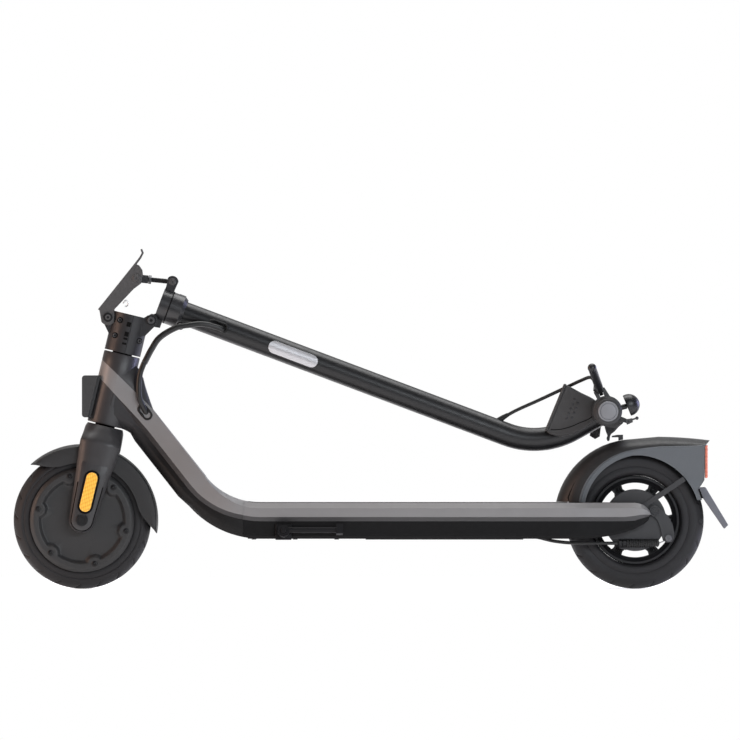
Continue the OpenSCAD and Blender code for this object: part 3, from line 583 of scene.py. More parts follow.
def cad_copy(node, material, width=0.6, segments=2, zone=None, shape=None, cuts=()):
    """Stands a softened copy in for a CAD node: cuts are (point, normal) planes, shape moves points."""
    source = NODES[node]
    work = bmesh.new()
    work.from_mesh(source.data)
    bmesh.ops.remove_doubles(work, verts=work.verts, dist=2e-5)
    bmesh.ops.dissolve_limit(work, angle_limit=math.radians(0.4), verts=work.verts, edges=work.edges)
    for point, normal in cuts:
        everything = list(work.verts) + list(work.edges) + list(work.faces)
        bmesh.ops.bisect_plane(work, geom=everything, plane_co=Vector(point) * MM, plane_no=normal)
    if shape:
        for vert in work.verts:
            vert.co = shape(vert.co / MM) * MM
    bmesh.ops.recalc_face_normals(work, faces=work.faces)
    mesh = bpy.data.meshes.new("seen_" + node)
    work.to_mesh(mesh)
    work.free()
    for layer in ("custom_normal", "sharp_edge", "sharp_face"):
        if layer in mesh.attributes:
            mesh.attributes.remove(mesh.attributes[layer])
    obj = settle(stand("seen_" + node, mesh), material, body_of(source)[0], zone=zone)
    if width:
        soften(obj, width, segments)
    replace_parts(obj, node)
    return obj


def keep(node, material):
    """Keeps a CAD node's own mesh and gives it a material."""
    for slot in NODES[node].material_slots:
        slot.material = PALETTE[material]


PALETTE = make_materials()
make_camera()
make_world()
make_lights()
make_floor()


# ---- Frame ----

# Radius of the neck's bend above and below, and how far behind the seam each bend ends in the deck
TOP_BEND_R, TOP_BEND_RUN = 105.0, 25.0
LOW_BEND_R, LOW_BEND_RUN = 145.0, 27.4
TOP_BEND = (SEAM_X + TOP_BEND_RUN, TOP_BEND_R)
LOW_BEND = (SEAM_X + LOW_BEND_RUN, LOW_BEND_R)


def bend_rise(x, bend):
    centre, radius = bend
    return radius - math.sqrt(radius ** 2 - (x - centre) ** 2) if x < centre else 0.0


def deck_shape(p):
    f = (p.z - DECK_BOTTOM) / (DECK_TOP - DECK_BOTTOM)
    lift = mix(bend_rise(p.x, LOW_BEND), bend_rise(p.x, TOP_BEND), min(1.0, max(0.0, f)))
    return Vector((p.x, p.y, p.z + lift))


def make_rear_arms():
    """Arms from the deck to the axle: the deck's chamfered section, tapering to a round nose."""
    start = high("deck_mat").x + 10
    tops = [(start, 129.2), (395, 129.2), (402, 128.2), (408, 126), (413, 122.2), (416.6, 117.6),
            (418.6, 112.6)]
    bases = [(start, 75.3), (330, 76.2), (345, 77.8), (361, 80.2), (380, 85), (395, 90), (407, 96.6),
             (415, 102.6), (418.6, 110.4)]

    def at(line, x):
        for (x0, z0), (x1, z1) in zip(line, line[1:]):
            if x <= x1:
                return mix(z0, z1, (x - x0) / (x1 - x0))
        return line[-1][1]

    stations = [start, 318, 330, 345, 361, 380, 395, 400, 404, 408, 411, 413.5, 415.5, 417, 418, 418.6]
    for side in (-1, 1):
        rows = []
        for x in stations:
            top, base = at(tops, x), at(bases, x)
            tall = top - base
            tight = max(0.0, (x - 400) / 18.6)
            nose = 9.0 * (1 - math.sqrt(max(0.0, 1 - tight * tight)))
            wide = mix(HALF_DECK, 71.0, ease((x - start) / 60)) - nose
            ring = [(wide - 7, top), (wide, top - min(8, tall * 0.2)), (wide, top - min(21.2, tall * 0.5)),
                    (wide - 6.5, top - min(27.7, tall * 0.68)), (wide - 6.5, base + min(4, tall * 0.12)),
                    (wide - 10.5, base), (45, base), (45, top)]
            rows.append([Vector((x, side * y, z)) for y, z in ring])
        arm = piece("rear_arm_" + hand(side), skin(rows, tube=True), ["grey", "shaded_chamfer", "under"],
                    "frame", 30)
        across = len(rows[0])
        for face in arm.data.polygons:
            cols = {v % across for v in face.vertices}
            first = across - 1 if {0, across - 1} <= cols else min(cols)
            # The lower chamfer takes the darker copy of the grey, painted shade; top and side take the grey,
            # the rest black.
            face.material_index = 2 if len(cols) > 2 else (0, 0, 1, 2, 2, 2, 2, 0)[first]
        soften(arm, 1.6, 3, 24)
        if side < 0:
            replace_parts(arm, "rear_arms")


def deck_zone(centre, _):
    """Grey top and sides, the slope below them in a darker copy of the grey paint as painted shade, black
    under the slope.
    """
    if centre.z > DECK_TOP - 21.4:
        return 0
    return 1 if centre.z > DECK_TOP - 27.9 else 2


def make_deck():
    bends = [((x, 0, 0), (1, 0, 0)) for x in (SEAM_X + 6, SEAM_X + 12, SEAM_X + 18, SEAM_X + 25)]
    cad_copy("deck_frame", ["grey", "shaded_chamfer", "under"], 1.0, 3, shape=deck_shape, cuts=bends,
             zone=deck_zone)
    cad_copy("deck_mat", "mat", 0.5, 2, shape=deck_shape, cuts=bends[1:])
    make_rear_arms()


def neck_rows():
    """Side-view curves of the neck from the head to the deck: top edge, stripe's two edges, bottom."""
    corner = Vector((-327.0, 0, 269.4))
    down = Vector((math.cos(NECK), 0, -math.sin(NECK)))
    inward = Vector((-math.sin(NECK), 0, -math.cos(NECK)))
    rear = [steer(0, 252), steer(27.4, 244), Vector((-341.7, 0, 316.4)), Vector((-337.7, 0, 300.3)),
            Vector((-332.3, 0, 284.4)), corner]
    floor = [steer(0, 147), steer(27.5, 147), steer(34, 145.5), steer(39.5, 143.8)]
    upper = [steer(0, 225), corner]
    lower = [steer(0, 197.5), corner + inward * 26.5]
    rows = []
    for i in range(9):
        f = i / 8
        rows.append((along(rear, f), along(upper, f), along(lower, f), along(floor, f), 0.0, 1 - f))
    tube_end = TOP_BEND_R * math.sin(NECK)
    bend_start = (SEAM_X + TOP_BEND_RUN - tube_end, DECK_TOP + TOP_BEND_R * (1 - math.cos(NECK)))
    straight = (bend_start[0] - corner.x) / down.x
    for i in range(1, 7):
        top = corner + down * straight * i / 6
        rows.append((top, top + inward * 0.5, top + inward * 25.5, top + inward * 51, 0.1 * i / 6, 0.0))
    inner = Vector((TOP_BEND[0], 0, DECK_TOP + TOP_BEND[1]))
    outer = Vector((LOW_BEND[0], 0, DECK_BOTTOM + LOW_BEND[1]))
    start = 270 - math.degrees(NECK)
    last = 270 - math.degrees(math.asin(TOP_BEND_RUN / TOP_BEND_R))
    low_last = 270 - math.degrees(math.asin(LOW_BEND_RUN / LOW_BEND_R))
    for i in range(1, 13):
        f = i / 12
        top = around(inner, TOP_BEND_R, mix(start, last, f))
        base = around(outer, LOW_BEND_R, mix(start, low_last, f))
        way = (base - top).normalized()
        rows.append((top, top + way * mix(0.5, 8, f), top + way * mix(25.5, 21.2, f), base, mix(0.1, 1, f),
                     0.0))
    return rows


def neck_width(x):
    """Half width of the neck: as slim as the head tube in front, as wide as the deck at the seam."""
    slim = HEAD_R + 0.2
    start = FRONT_HUB.x + 98
    return slim + (HALF_DECK - slim) * ease((x - start) / (SEAM_X - 8 - start))


def make_neck():
    """Lofted down tube: grey stripe along its side, dark casting above and below it."""
    rows = []
    for rear, upper, lower, floor, flat, head in neck_rows():
        way = (floor - lower).normalized()
        depth = (floor - lower).length
        w = neck_width(upper.x)
        step = 6.5 * (1 - head)
        thin = w - step
        tip = 10.5 if head else 7
        half = [(rear, 0.0), (rear, mix(w - 7, w * 0.35, head)),
                (mix(rear, upper, 0.35), mix(w - 4.4, w * 0.74, head)),
                (mix(rear, upper, 0.75), mix(w - 1.8, w * 0.93, head)), (upper, w),
                (mix(upper, lower, 0.5), w), (lower, w), (lower + way * max(1.0, step), thin),
                (mix(lower + way * step, floor, 0.35), thin),
                (floor - way * min(depth * 0.42, tip + 9 * (1 - flat)), thin - 0.4),
                (floor - way * min(depth * 0.2, 4 + 3 * (1 - flat)), thin - mix(6.0, 1.2, flat)),
                (floor, thin - mix(15.0, 4.0, flat)), (floor, 0.0)]
        rows.append(both_sides(half))
    across = len(rows[0])
    obj = piece("neck_shell", skin(rows, tube=True), ["shell", "grey", "neck_under"], "frame", 38)
    for face in obj.data.polygons:
        corners = sorted(face.vertices)
        i, j = corners[0] // across, min(v % across for v in face.vertices)
        if j == 0 and max(v % across for v in face.vertices) == across - 1:
            j = across - 1
        band = min(j, across - 1 - j)
        if 4 <= band < 6 or band < 4 and i >= 8:
            face.material_index = 1
        elif band >= 7:
            face.material_index = 2
        if len(face.vertices) > 4:
            face.material_index = 2
    soften(obj, 0.9, 2, 38)
    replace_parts(obj, "neck")


def make_head_tube():
    """Head tube with the stripe carried round its front."""
    steps = 72
    rows = []
    for i in range(steps):
        a = 2 * math.pi * i / steps
        t, y = HEAD_R * math.cos(a), HEAD_R * math.sin(a)
        heights = [(147, 1.0), (148, 0), (197.5 - 0.67 * t, 0), (225 - 0.586 * t, 0), (254.8, 0),
                   (256, 1.0)]
        ring = [(17.6, 147)] + [(HEAD_R - cut, s) for s, cut in heights] + [(17.6, 256)]
        for k, (r, s) in enumerate(ring):
            ring[k] = steer(t * r / HEAD_R, s, y * r / HEAD_R)
        rows.append(ring)
    obj = piece("head_tube_shell", skin(rows, ring=True, tube=True), ["shell", "grey"], "frame", 40)
    for face in obj.data.polygons:
        rings = {v % 8 for v in face.vertices}
        if rings == {3, 4}:
            face.material_index = 1
    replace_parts(obj, "head_tube")


# ---- Wheels ----

def make_tyre(name, node, body, bead_r):
    """Tyre with a rounded tread, slanting shoulder grooves and a moulded line on each wall."""
    hub = middle(node)
    half = (high(node).y - low(node).y) / 2
    steps, cuts = 480, 20
    profile = [(bead_r, -half + 6), (bead_r + 2.8, -half + 1.4), (bead_r + 3.6, -half + 0.4),
               (bead_r + 7.4, -half),
               (bead_r + 12.6, -half), (bead_r + 13.4, -half + 0.7), (bead_r + 14.2, -half + 0.1)]
    crown = 17.0
    across = 26
    for i in range(across + 1):
        a = math.radians(mix(-72, 72, i / across))
        profile.append((TYRE_R - crown + crown * math.cos(a),
                        half * math.sin(a) / math.sin(math.radians(75))))
    profile += [(r, -y) for r, y in reversed(profile[:7])]
    rows = []
    for i in range(steps):
        turn = 2 * math.pi * i / steps
        row = []
        for r, y in profile:
            deep = 0.0
            edge = abs(y) / half
            if r > TYRE_R - 7 and edge > 0.25:
                slant, shift = (0.55, 0.5) if y > 0 else (-0.55, 0.0)
                phase = (i / steps * cuts + slant * edge + shift) % 1.0
                deep = 3.0 * (1 - ease(abs(phase - 0.5) / 0.085)) * ease((edge - 0.25) / 0.15)
            if abs(edge - 0.16) < 0.045 and r > TYRE_R - 4:
                deep = 1.4
            row.append(around(hub, r - deep, math.degrees(turn), y))
        rows.append(row)
    tyre = piece(name, skin(rows, ring=True, tube=True), "tyre", body, 50)
    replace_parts(tyre, node)


def cover_depth(r, degrees):
    """Recess of a hub cover inside its sloping ring, with a round boss left standing at each screw."""
    boss = 60.0
    off = (degrees - 46 + boss / 2) % boss - boss / 2
    a = math.radians(off)
    to_screw = math.hypot(r * math.cos(a) - 68.0, r * math.sin(a))
    inside = min(66.0 - r, to_screw - 9.4)
    return 6.6 * ease(inside / 6.0)


def make_hub_covers():
    """Motor covers: turned rim, recess with scalloped bosses, and a socket screw in each boss."""
    hub = FRONT_HUB
    radii = [10.1, 12, 20, 30, 40, 48, 54] + [55.5 + 0.75 * i for i in range(23)]
    edge_r = high("hub_motor_covers").x - hub.x
    for side in (-1, 1):
        rows = []
        for i in range(240):
            a = 1.5 * i
            row = [around(hub, 10.1, a, side * 24.2)]
            for r in radii:
                row.append(around(hub, r, a, side * (32.4 - cover_depth(r, a))))
            row += [around(hub, r, a, side * y) for r, y in
                    ((73.0, 32.2), (edge_r - 0.5, 27.6), (edge_r, 26.8), (edge_r, 24.2))]
            rows.append(row)
        name = hand(side)
        cover = piece("hub_cover_" + name, skin(rows, ring=True, tube=True), "hub", "front_wheel", 36)
        if side < 0:
            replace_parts(cover, "hub_motor_covers")
        for k in range(6):
            socket_screw("hub_screw_%s_%d" % (name, k), around(hub, 68, 46 + 60 * k, side * 32.2),
                         (0, side, 0), 4.4, "front_wheel", "rim")


def socket_screw(name, place, axis, r, body, material="bolt"):
    """Round-headed screw with a hexagon socket whose walls and rim are a near-black piece, painted shade in
    the recess.
    """
    head = [(r * 0.42, 1.2), (r * 0.46, 1.5), (r * 0.8, 1.3), (r, 0.6), (r, -1.5), (0, -1.5)]
    piece(name, lathe(head, place, axis, 24), material, body, 40)
    socket = [(0.01, -0.6), (r * 0.44, -0.6), (r * 0.44, 1.25), (r * 0.40, 1.25), (r * 0.36, -0.4),
              (0.01, -0.4)]
    piece(name + "_socket", lathe(socket, place, axis, 6), "dark", body, 20)


def make_rear_wheel():
    """Cast rim with lips, six forked spokes with bolts, the hub, the axle and its nuts."""
    hub = REAR_HUB
    ring = [(66.8, -18), (65.6, -19.5), (62.5, -19.5), (60.5, -17), (56.2, -15), (55.8, 0), (56.2, 15),
            (60.5, 17), (62.5, 19.5), (65.6, 19.5), (66.8, 18)]
    rim = piece("rim_ring", lathe(ring, hub, (0, -1, 0), 120), "rim", "rear_wheel", 40)
    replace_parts(rim, "rear_rim")
    disc = [(13, -19), (40, -19), (46.3, -16), (46.3, 33), (44.5, 34.2), (40, 34.2), (40, 14), (13, 14)]
    soften(piece("rim_hub", lathe(disc, hub, (0, -1, 0), 96), "rim", "rear_wheel", 40), 0.6, 2)
    for k in range(6):
        a = 60.0 * k
        for side in (-1, 1):
            rib = []
            for r, w in ((44.0, 8.4), (50.0, 5.6), (57.0, 7.4)):
                rib.append([around(hub, math.hypot(r, w + o),
                                   a + side * math.degrees(math.atan2(w + o, r)), y)
                            for o, y in ((-1.4, -15), (-1.4, 11), (1.4, 11), (1.4, -15))])
            soften(piece("rim_rib_%d_%s" % (k, "ab"[side > 0]), skin(rib, tube=True),
                         "rim", "rear_wheel"), 0.5, 2)
        corners = ((-7.5, -9), (-7.5, 7), (7.5, 7), (7.5, -9))
        web = [[around(hub, r, a + b, y) for b, y in corners] for r in (44, 57)]
        piece("rim_web_%d" % k, skin(web, tube=True), "rim", "rear_wheel")
        socket_screw("rim_bolt_%d" % k, around(hub, 51.5, a, -10), (0, -1, 0), 3.4, "rear_wheel", "rim")
    piece("rim_bearings", lathe([(5.9, -15), (12.8, -15), (12.8, 13), (5.9, 13)], hub, (0, -1, 0), 48),
          "steel", "rear_wheel", 40)
    form = lathe([(0.01, -61), (6, -61), (6, 61), (0.01, 61)], hub, (0, 1, 0), 32)
    axle = piece("rear_axle_shaft", form, "steel", "frame", 40)
    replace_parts(axle, "rear_axle")
    for side in (-1, 1):
        form = lathe([(6, 0), (9.4, 0), (9.9, 0.5), (9.9, 3.4), (9.4, 3.9), (6, 3.9)],
                     Vector((hub.x, side * 40.6, hub.z)), (0, side, 0), 6)
        piece("rear_nut_" + hand(side), form, "bolt", "frame", 20)


def make_brake_arm():
    """Drum brake's arm, a curved plate with its pivot, cable clamp and cam, and the mud flap behind it."""
    outline = [(417.9, 120.9), (421.5, 125.4), (429, 125.4), (435, 119.4), (445.5, 108.9), (452, 97),
               (454.4, 83.4),
               (453.8, 76), (450, 70), (442.5, 69.4), (437, 73), (434.7, 82), (433.5, 91), (429, 103),
               (421.5, 109.5), (417.9, 115)]
    arm = soften(piece("brake_arm_plate", slab(outline, -43.2, -40.2),
                       "plate", "brake_arm", 40), 0.9, 3, 60)
    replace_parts(arm, "brake_arm")
    pivot = [(0.01, 1.0), (2.6, 1.0), (3.0, 1.6), (4.6, 1.6), (5.0, 0.8), (6.2, 0.8), (6.6, 1.8),
             (8.0, 1.8), (8.6, 1.2), (8.6, -0.5), (0.01, -0.5)]
    piece("brake_arm_pivot", lathe(pivot, Vector((425, -43.2, 117)), (0, -1, 0), 40),
          "plate", "brake_arm", 36)
    clamp = [(0.01, 2.2), (1.9, 2.2), (2.3, 2.9), (4.6, 2.9), (5.2, 2.3), (5.2, -1), (0.01, -1)]
    piece("brake_arm_clamp", lathe(clamp, Vector((445.5, -43.2, 76)), (0, -1, 0), 24),
          "bolt", "brake_arm", 36)
    form = lathe([(0.01, -43), (3.9, -43), (3.9, -34), (0.01, -34)], Vector((425, 0, 117)), (0, 1, 0), 24)
    piece("brake_cam", form, "steel", "brake_arm", 40)
    flap = [(488.4, 151.5), (501.3, 152.4), (535.4, 95.7), (529.5, 90), (493.5, 142.5)]
    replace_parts(soften(piece("mud_flap_sheet", slab(flap, -32, 32), "flap", "frame"), 1.0, 3), "mud_flap")


# ---- Fenders ----

# Radii about the rear hub: the arch's edge, the crown and the roof of the wheel well
FENDER_ARCH_R, FENDER_CROWN_R, FENDER_WELL_R = 97.5, 121.5, 107.0


def fender_zone(centre, normal):
    """Crown 0, flat side 1 or wheel well 2 of the rear fender: the side's lighter, bluer tone is painted
    light, the well's near-black painted shade.
    """
    if abs(centre.y) > 37.9:
        return 1
    outward = centre - REAR_HUB
    inner = normal.x * outward.x + normal.z * outward.z < -20 or normal.y * centre.y < -12
    return 2 if inner and math.hypot(outward.x, outward.z) < FENDER_WELL_R + 0.5 else 0


def make_rear_fender():
    """Rear fender: dark rounded crown, flat side with an arch, hollow wheel well, square tail; the side's
    lighter tone is painted light and the well's near-black painted shade.
    """
    hub = REAR_HUB
    ridge = [Vector((hub.x + x, 0, hub.z + z)) for x, z in (
        (-2, 104.4), (11, 106.6), (34, 109.5), (66, 110.2), (97, 111), (104.5, 113))]
    tip = Vector((hub.x + 112, 0, hub.z + 119.6))
    crest = Vector((hub.x + 24, 0, hub.z + 125))
    rows = []
    for i in range(15):
        a = mix(167, 92, i / 14)
        arch_r = FENDER_ARCH_R - 0.255 * (a - 90)
        inside = min(a, 161.5)
        rows.append((around(hub, FENDER_CROWN_R, a), around(hub, arch_r + 7.2, inside),
                     around(hub, arch_r, inside)))
    for i in range(1, 9):
        f = i / 8
        top = mix(crest, tip, f) + Vector((0, 0, 1.5 * 4 * f * (1 - f)))
        rows.append((top, along(ridge, f), around(hub, FENDER_ARCH_R, mix(90, 42, f))))
    back = hub.x + 104.5
    for x, z, a in ((0, 110, 40), (0, 96, 36), (-0.4, 78, 31), (-1, 60, 26), (-5, 53.5, 23.5),
                    (-10.5, 46, 21.5), (-4.5, 30, 18)):
        here = Vector((back + x, 0, hub.z + z))
        rows.append((here, here.copy(), around(hub, FENDER_ARCH_R, a)))
    wide, lip, well = 38.0, 34.6, 32.0
    grid = []
    for top, edge, arch in rows:
        half = [(top, 0.0)]
        for degrees in (18, 34, 48, 60, 70, 79, 85):
            a = math.radians(degrees)
            half.append((mix(edge, top, math.cos(a)), wide * math.sin(a)))
        reach = (arch - hub).normalized()
        roof = hub + reach * FENDER_WELL_R
        under = mix(edge, arch, min(0.3, 1.0 / (edge - arch).length))
        half += [(edge, wide + 0.9), (under, wide), (mix(edge, arch, 0.5), wide), (arch, wide),
                 (arch, lip), (roof, well), (roof, 0.0)]
        grid.append(both_sides(half))
    fender = piece("fender_rear_shell", skin(grid, tube=True),
                   ["fender", "fender_side_painted_light", "dark"], "frame", 34, fender_zone)
    soften(fender, 0.8, 2, 34)
    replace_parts(fender, "rear_fender")


def make_front_fender():
    """Front fender: thin rounded shell whose side skirts taper to a sharp tip at each end."""
    hub = FRONT_HUB
    first, last = -9.9, 132.7
    crown_r = TYRE_R + 11
    rows = []
    for i in range(73):
        f = i / 72
        a = mix(first, last, f)
        tip = min(1.0, min(a - first, last - a) / 26)
        deep = max(1.2, 28 * (1 - (1 - tip) ** 2.4))
        drop = min(4.5, deep * 0.5)
        base = crown_r - deep
        outer = []
        for degrees in (0, 30, 50, 65, 76, 84):
            b = math.radians(degrees)
            outer.append((crown_r - drop * (1 - math.cos(b)), 32 * math.sin(b) ** 0.9))
        outer += [(crown_r - drop - 0.25 * (deep - drop), 32.4), (mix(crown_r - drop, base, 0.6), 32.2),
                  (base, 31.6)]
        lift = min(2.4, deep)
        inner = [(base + 0.3, 30.4), (max(base + 0.4, crown_r - drop - 2.4), 30.2),
                 (crown_r - lift - drop * 0.4, 26.0), (crown_r - lift, 0.0)]
        rows.append(both_sides([(around(hub, r, a), y) for r, y in outer + inner]))
    fender = piece("fender_front_shell", skin(rows, tube=True), "fender", "steering", 40)
    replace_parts(fender, "front_fender")


# ---- Fork ----

# Rounding of the legs: outer face, how far it falls back at the edges, and how sharply
LEG_Y, LEG_BULGE, BULGE_POWER = 51.2, 11, 3.4
# Round end of a leg, start and top of the crown, round ends of a cover and the centre of its upper one
LEG_END_R = 19.5
CROWN_S, CROWN_TOP = 116.6, 144.9
COVER_END_R = 15.5
COVER_TOP_R, COVER_TOP_S = 20, 84


def leg_edges(s):
    """Front and rear edges of a fork leg at a height along the steering axis."""
    if s < 0:
        r = math.sqrt(max(0.0, LEG_END_R ** 2 - s * s))
        return -r, r
    front = -mix(LEG_END_R, 30.7, s / 116) if s < 116 else -mix(30.7, 29, (s - 116) / 18)
    rear = mix(LEG_END_R, 25.8, s / 70) if s < 70 else mix(25.8, 30.8, (s - 70) / 39) if s < 109 else 31.0
    return front, rear


def edge_share(u, s, half, ends):
    """How near a point is to a leg's edge, from 0 to 1: measured radially round the centre of an end."""
    for centre, r, way in ends:
        if (s - centre) * way > 0:
            return min(1.0, math.hypot(u * half, s - centre) / r)
    return abs(u)


def leg_rows(stations, edges, inner_y, outer_y, bulge, side, ends):
    """Rows of a leg or its cover: flat towards the wheel, convex outside."""
    rows = []
    for s in stations:
        a, b = edges(s)
        mid, half = (a + b) / 2, max(0.05, (b - a) / 2)
        ring = [steer(mid + half, s, side * inner_y), steer(mid - half, s, side * inner_y)]
        for i in range(25):
            u = -math.cos(math.pi * i / 24)
            y = outer_y - bulge * edge_share(u, s, half, ends) ** BULGE_POWER
            ring.append(steer(mid + half * u, s, side * y))
        rows.append(ring)
    return rows


def make_fork():
    """Fork: two convex legs, the crown lofted from both legs to a round top, and the steerer."""
    dome = [(0.01 - LEG_END_R) * math.cos(math.radians(a)) for a in (0, 6, 12, 18, 24, 32, 42, 54, 66, 78,
                                                                     90)]
    stations = dome + [10, 22, 35, 50, 65, 80, 95, 105, 112, CROWN_S]
    for side in (-1, 1):
        rows = leg_rows(stations, leg_edges, 36, LEG_Y, LEG_BULGE, side, ((0, LEG_END_R, -1),))
        leg = piece("fork_leg_" + hand(side), skin(rows, tube=True),
                    "shell", "steering", 50)
        if side < 0:
            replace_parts(leg, "fork")
        make_leg_cover(side)
    rows = []
    for s in (CROWN_S, 118, 120, 122.5, 125, 127.5, 130, 132.5, 135, 137.5, 140, 142, 143.6, CROWN_TOP):
        f = ease((s - CROWN_S) / 28)
        a, b = leg_edges(min(s, 134))
        r = 29.4 - 2.6 * max(0.0, (s - 136) / 8.9) ** 2
        ring = []
        for side, order in ((-1, range(25)), (1, range(24, -1, -1))):
            for i in order:
                u = -math.cos(math.pi * i / 24)
                leg_y = LEG_Y - LEG_BULGE * abs(u) ** BULGE_POWER
                y = mix(leg_y, 1.3 * r * math.sqrt(max(0.0, 1 - u * u)), f)
                ring.append(steer(mix((a + b) / 2 + (b - a) / 2 * u, 0.6 + r * u, f), s, side * y))
        rows.append(ring)
    piece("fork_crown", skin(rows, tube=True), "shell", "steering", 50)
    turn = Vector((math.sin(LEAN), 0, math.cos(LEAN)))
    # The steerer takes the near-black material: painted shade where it shows through the gaps at the head
    # tube.
    piece("steerer", lathe([(12, 144.8), (15, 144.8), (15, 311.5), (12, 311.5)], steer(0, 0), turn, 64),
          "dark", "steering", 40)


def cover_edges(s, grow=0.0):
    if s < 0:
        r = math.sqrt(max(0.0, (COVER_END_R + grow) ** 2 - s * s))
    elif s < COVER_TOP_S:
        r = mix(COVER_END_R, COVER_TOP_R, s / COVER_TOP_S) + grow
    else:
        r = math.sqrt(max(0.0, (COVER_TOP_R + grow) ** 2 - (s - COVER_TOP_S) ** 2))
    return -r, r


def make_leg_cover(side):
    """Raised cover on a leg, with the reflector in its dark frame and the axle cap."""
    name = hand(side)
    ends = [(0.01 - COVER_END_R) * math.cos(math.radians(a)) for a in range(0, 91, 9)]
    top = [COVER_TOP_S + (COVER_TOP_R - 0.01) * math.sin(math.radians(a)) for a in range(0, 91, 9)]
    stations = ends + [10, 25, 40, 55, 70] + top
    rows = []
    for s in stations:
        out = 53.6 - 4.6 * ease((s - 74) / 22)
        rows += leg_rows([s], cover_edges, 45, out, 2.9, side,
                         ((0, COVER_END_R, -1), (COVER_TOP_S, COVER_TOP_R, 1)))
    cover = piece("leg_cover_" + name, skin(rows, tube=True), "shell", "steering", 50)
    # A dark line round the lower part of each cover: painted shadow of the raised cover on the leg.
    line = [(cover_edges(s, 0.7)[1], s) for s in stations if s <= 55]
    line = [(-t, s) for t, s in reversed(line)] + line
    path = []
    for t, s in line:
        front, rear = leg_edges(s)
        share = edge_share((t - (front + rear) / 2) / ((rear - front) / 2), s, (rear - front) / 2,
                           ((0, LEG_END_R, -1),))
        path.append(steer(t, s, side * (51.3 - LEG_BULGE * share ** BULGE_POWER)))
    piece("cover_painted_shadow_" + name, sweep(path, 0.9, 8), "dark", "steering", 60)
    make_oval("reflector_frame_" + name, oval_rows(66.6, 23.4), side, 52.6, 54.8, "dark", 0.7)
    make_oval("reflector_" + name, oval_rows(60.4, 17.2), side, 52.8, 55.2, "amber", 0.9)
    cap = [(0.01, 0.9), (4.2, 0.9), (4.6, 0.5), (5.6, 0.5), (6.0, 0.9), (8.4, 0.8), (9.1, 0.1), (9.2, -6),
           (0.01, -6)]
    axle = piece("axle_cap_" + name, lathe(cap, steer(0, 0, side * 55.6), (0, side, 0), 40),
                 "rim", "steering", 36)
    if side < 0:
        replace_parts(cover, "fork_covers")
        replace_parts(axle, "front_axle")
        form = lathe([(0.01, -50), (6, -50), (6, 50), (0.01, 50)], steer(0, 0), (0, 1, 0), 32)
        piece("axle_shaft", form, "steel", "steering", 40)


def oval_rows(length, width, steps=16):
    """Oval outline (across, along) centred on the reflector."""
    r, reach = width / 2, (length - width) / 2
    points = []
    for end in (1, -1):
        for i in range(steps + 1):
            a = math.pi * i / steps
            points.append((end * r * math.cos(a), end * (reach + r * math.sin(a))))
    return points


def make_oval(name, outline, side, y0, y1, material, width):
    centre = 43.3
    form = skin([[steer(t, centre + s, side * y) for t, s in outline] for y in (y0, y1)], tube=True)
    obj = piece(name, form, material, "steering")
    soften(obj, width, 3)
    if name == "reflector_left":
        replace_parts(obj, "fork_reflectors")


# ---- Cables ----

def cable_mesh(name, form, material):
    points, faces = form
    mesh = bpy.data.meshes.new(name)
    mesh.from_pydata([p * MM for p in points], [], faces)
    mesh.materials.append(PALETTE[material])
    mesh.shade_smooth()
    return stand(name, mesh)


def cable(name, route, radius, material="cable", per=8):
    return cable_mesh(name, sweep(smooth_path(route, per), radius), material)


LOWER_LOOP = [(-336, -24, 263), (-338, -27, 266), (-343, -31, 276), (-347, -33, 287), (-348, -33, 303),
              (-346, -32, 322), (-340, -31, 339)]
UPPER_LOOP = [(-340, -31, 339), (-329, -30, 360), (-317, -29, 377), (-294, -28, 391), (-275, -27, 395),
              (-251, -25, 397), (-228, -20, 391), (-222, -17, 388)]
BRAKE_ROUTE = [(336, -76, 310), (328, -62, 317), (314, -40, 312), (299, -22, 305), (280, -10, 296),
               (250, -4, 282), (215, 0, 266), (190, 0, 251)]
REAR_ROUTE = [(240, -40, 78.6), (252, -41, 76.9), (262, -42, 74.4), (276, -42, 71.4), (297, -42, 69.2),
              (325, -42, 68.6), (348, -42, 68.5), (371, -42, 68.5)]


def bend_at_hinge(obj):
    """Bends a piece with the upper loop, from where it leaves the steering to where it joins the stem."""
    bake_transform(obj, "steering", "stem", start=tuple(Vector(UPPER_LOOP[0]) * MM),
             end=tuple(Vector(UPPER_LOOP[-3]) * MM))


def make_cables():
    """Held cables: the loop at the hinge in two bending lengths, and the two brake cables."""
    lower = cable("loop_lower", LOWER_LOOP, 4.2)
    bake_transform(lower, "frame", "steering", start=tuple(Vector(LOWER_LOOP[2]) * MM),
             end=tuple(Vector(LOWER_LOOP[-1]) * MM))
    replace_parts(lower, "cable_loop_lower")
    upper = cable("loop_upper", UPPER_LOOP, 4.2)
    bend_at_hinge(upper)
    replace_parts(upper, "cable_loop_upper")
    wire = cable("loop_wire", [Vector(p) + Vector((2.4, 4.6, -2.0)) for p in UPPER_LOOP], 2.1)
    bend_at_hinge(wire)
    front = cable("brake_cable_front", BRAKE_ROUTE, 2.6)
    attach(front, "stem")
    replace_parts(front, "front_brake_cable")
    sleeve = [Vector(p) for p in ((187, 0, 249), (190, 0, 251), (198, 0, 256.6), (206, 0, 261.4))]
    soften(piece("cable_boot", sweep(sleeve, [5.2, 5.0, 4.0, 3.0]), "rubber", "stem"), 0.5, 2)
    rear = cable("brake_cable_rear", REAR_ROUTE, 2.6)
    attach(rear, "frame")
    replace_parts(rear, "rear_brake_cable")
    make_bellows()


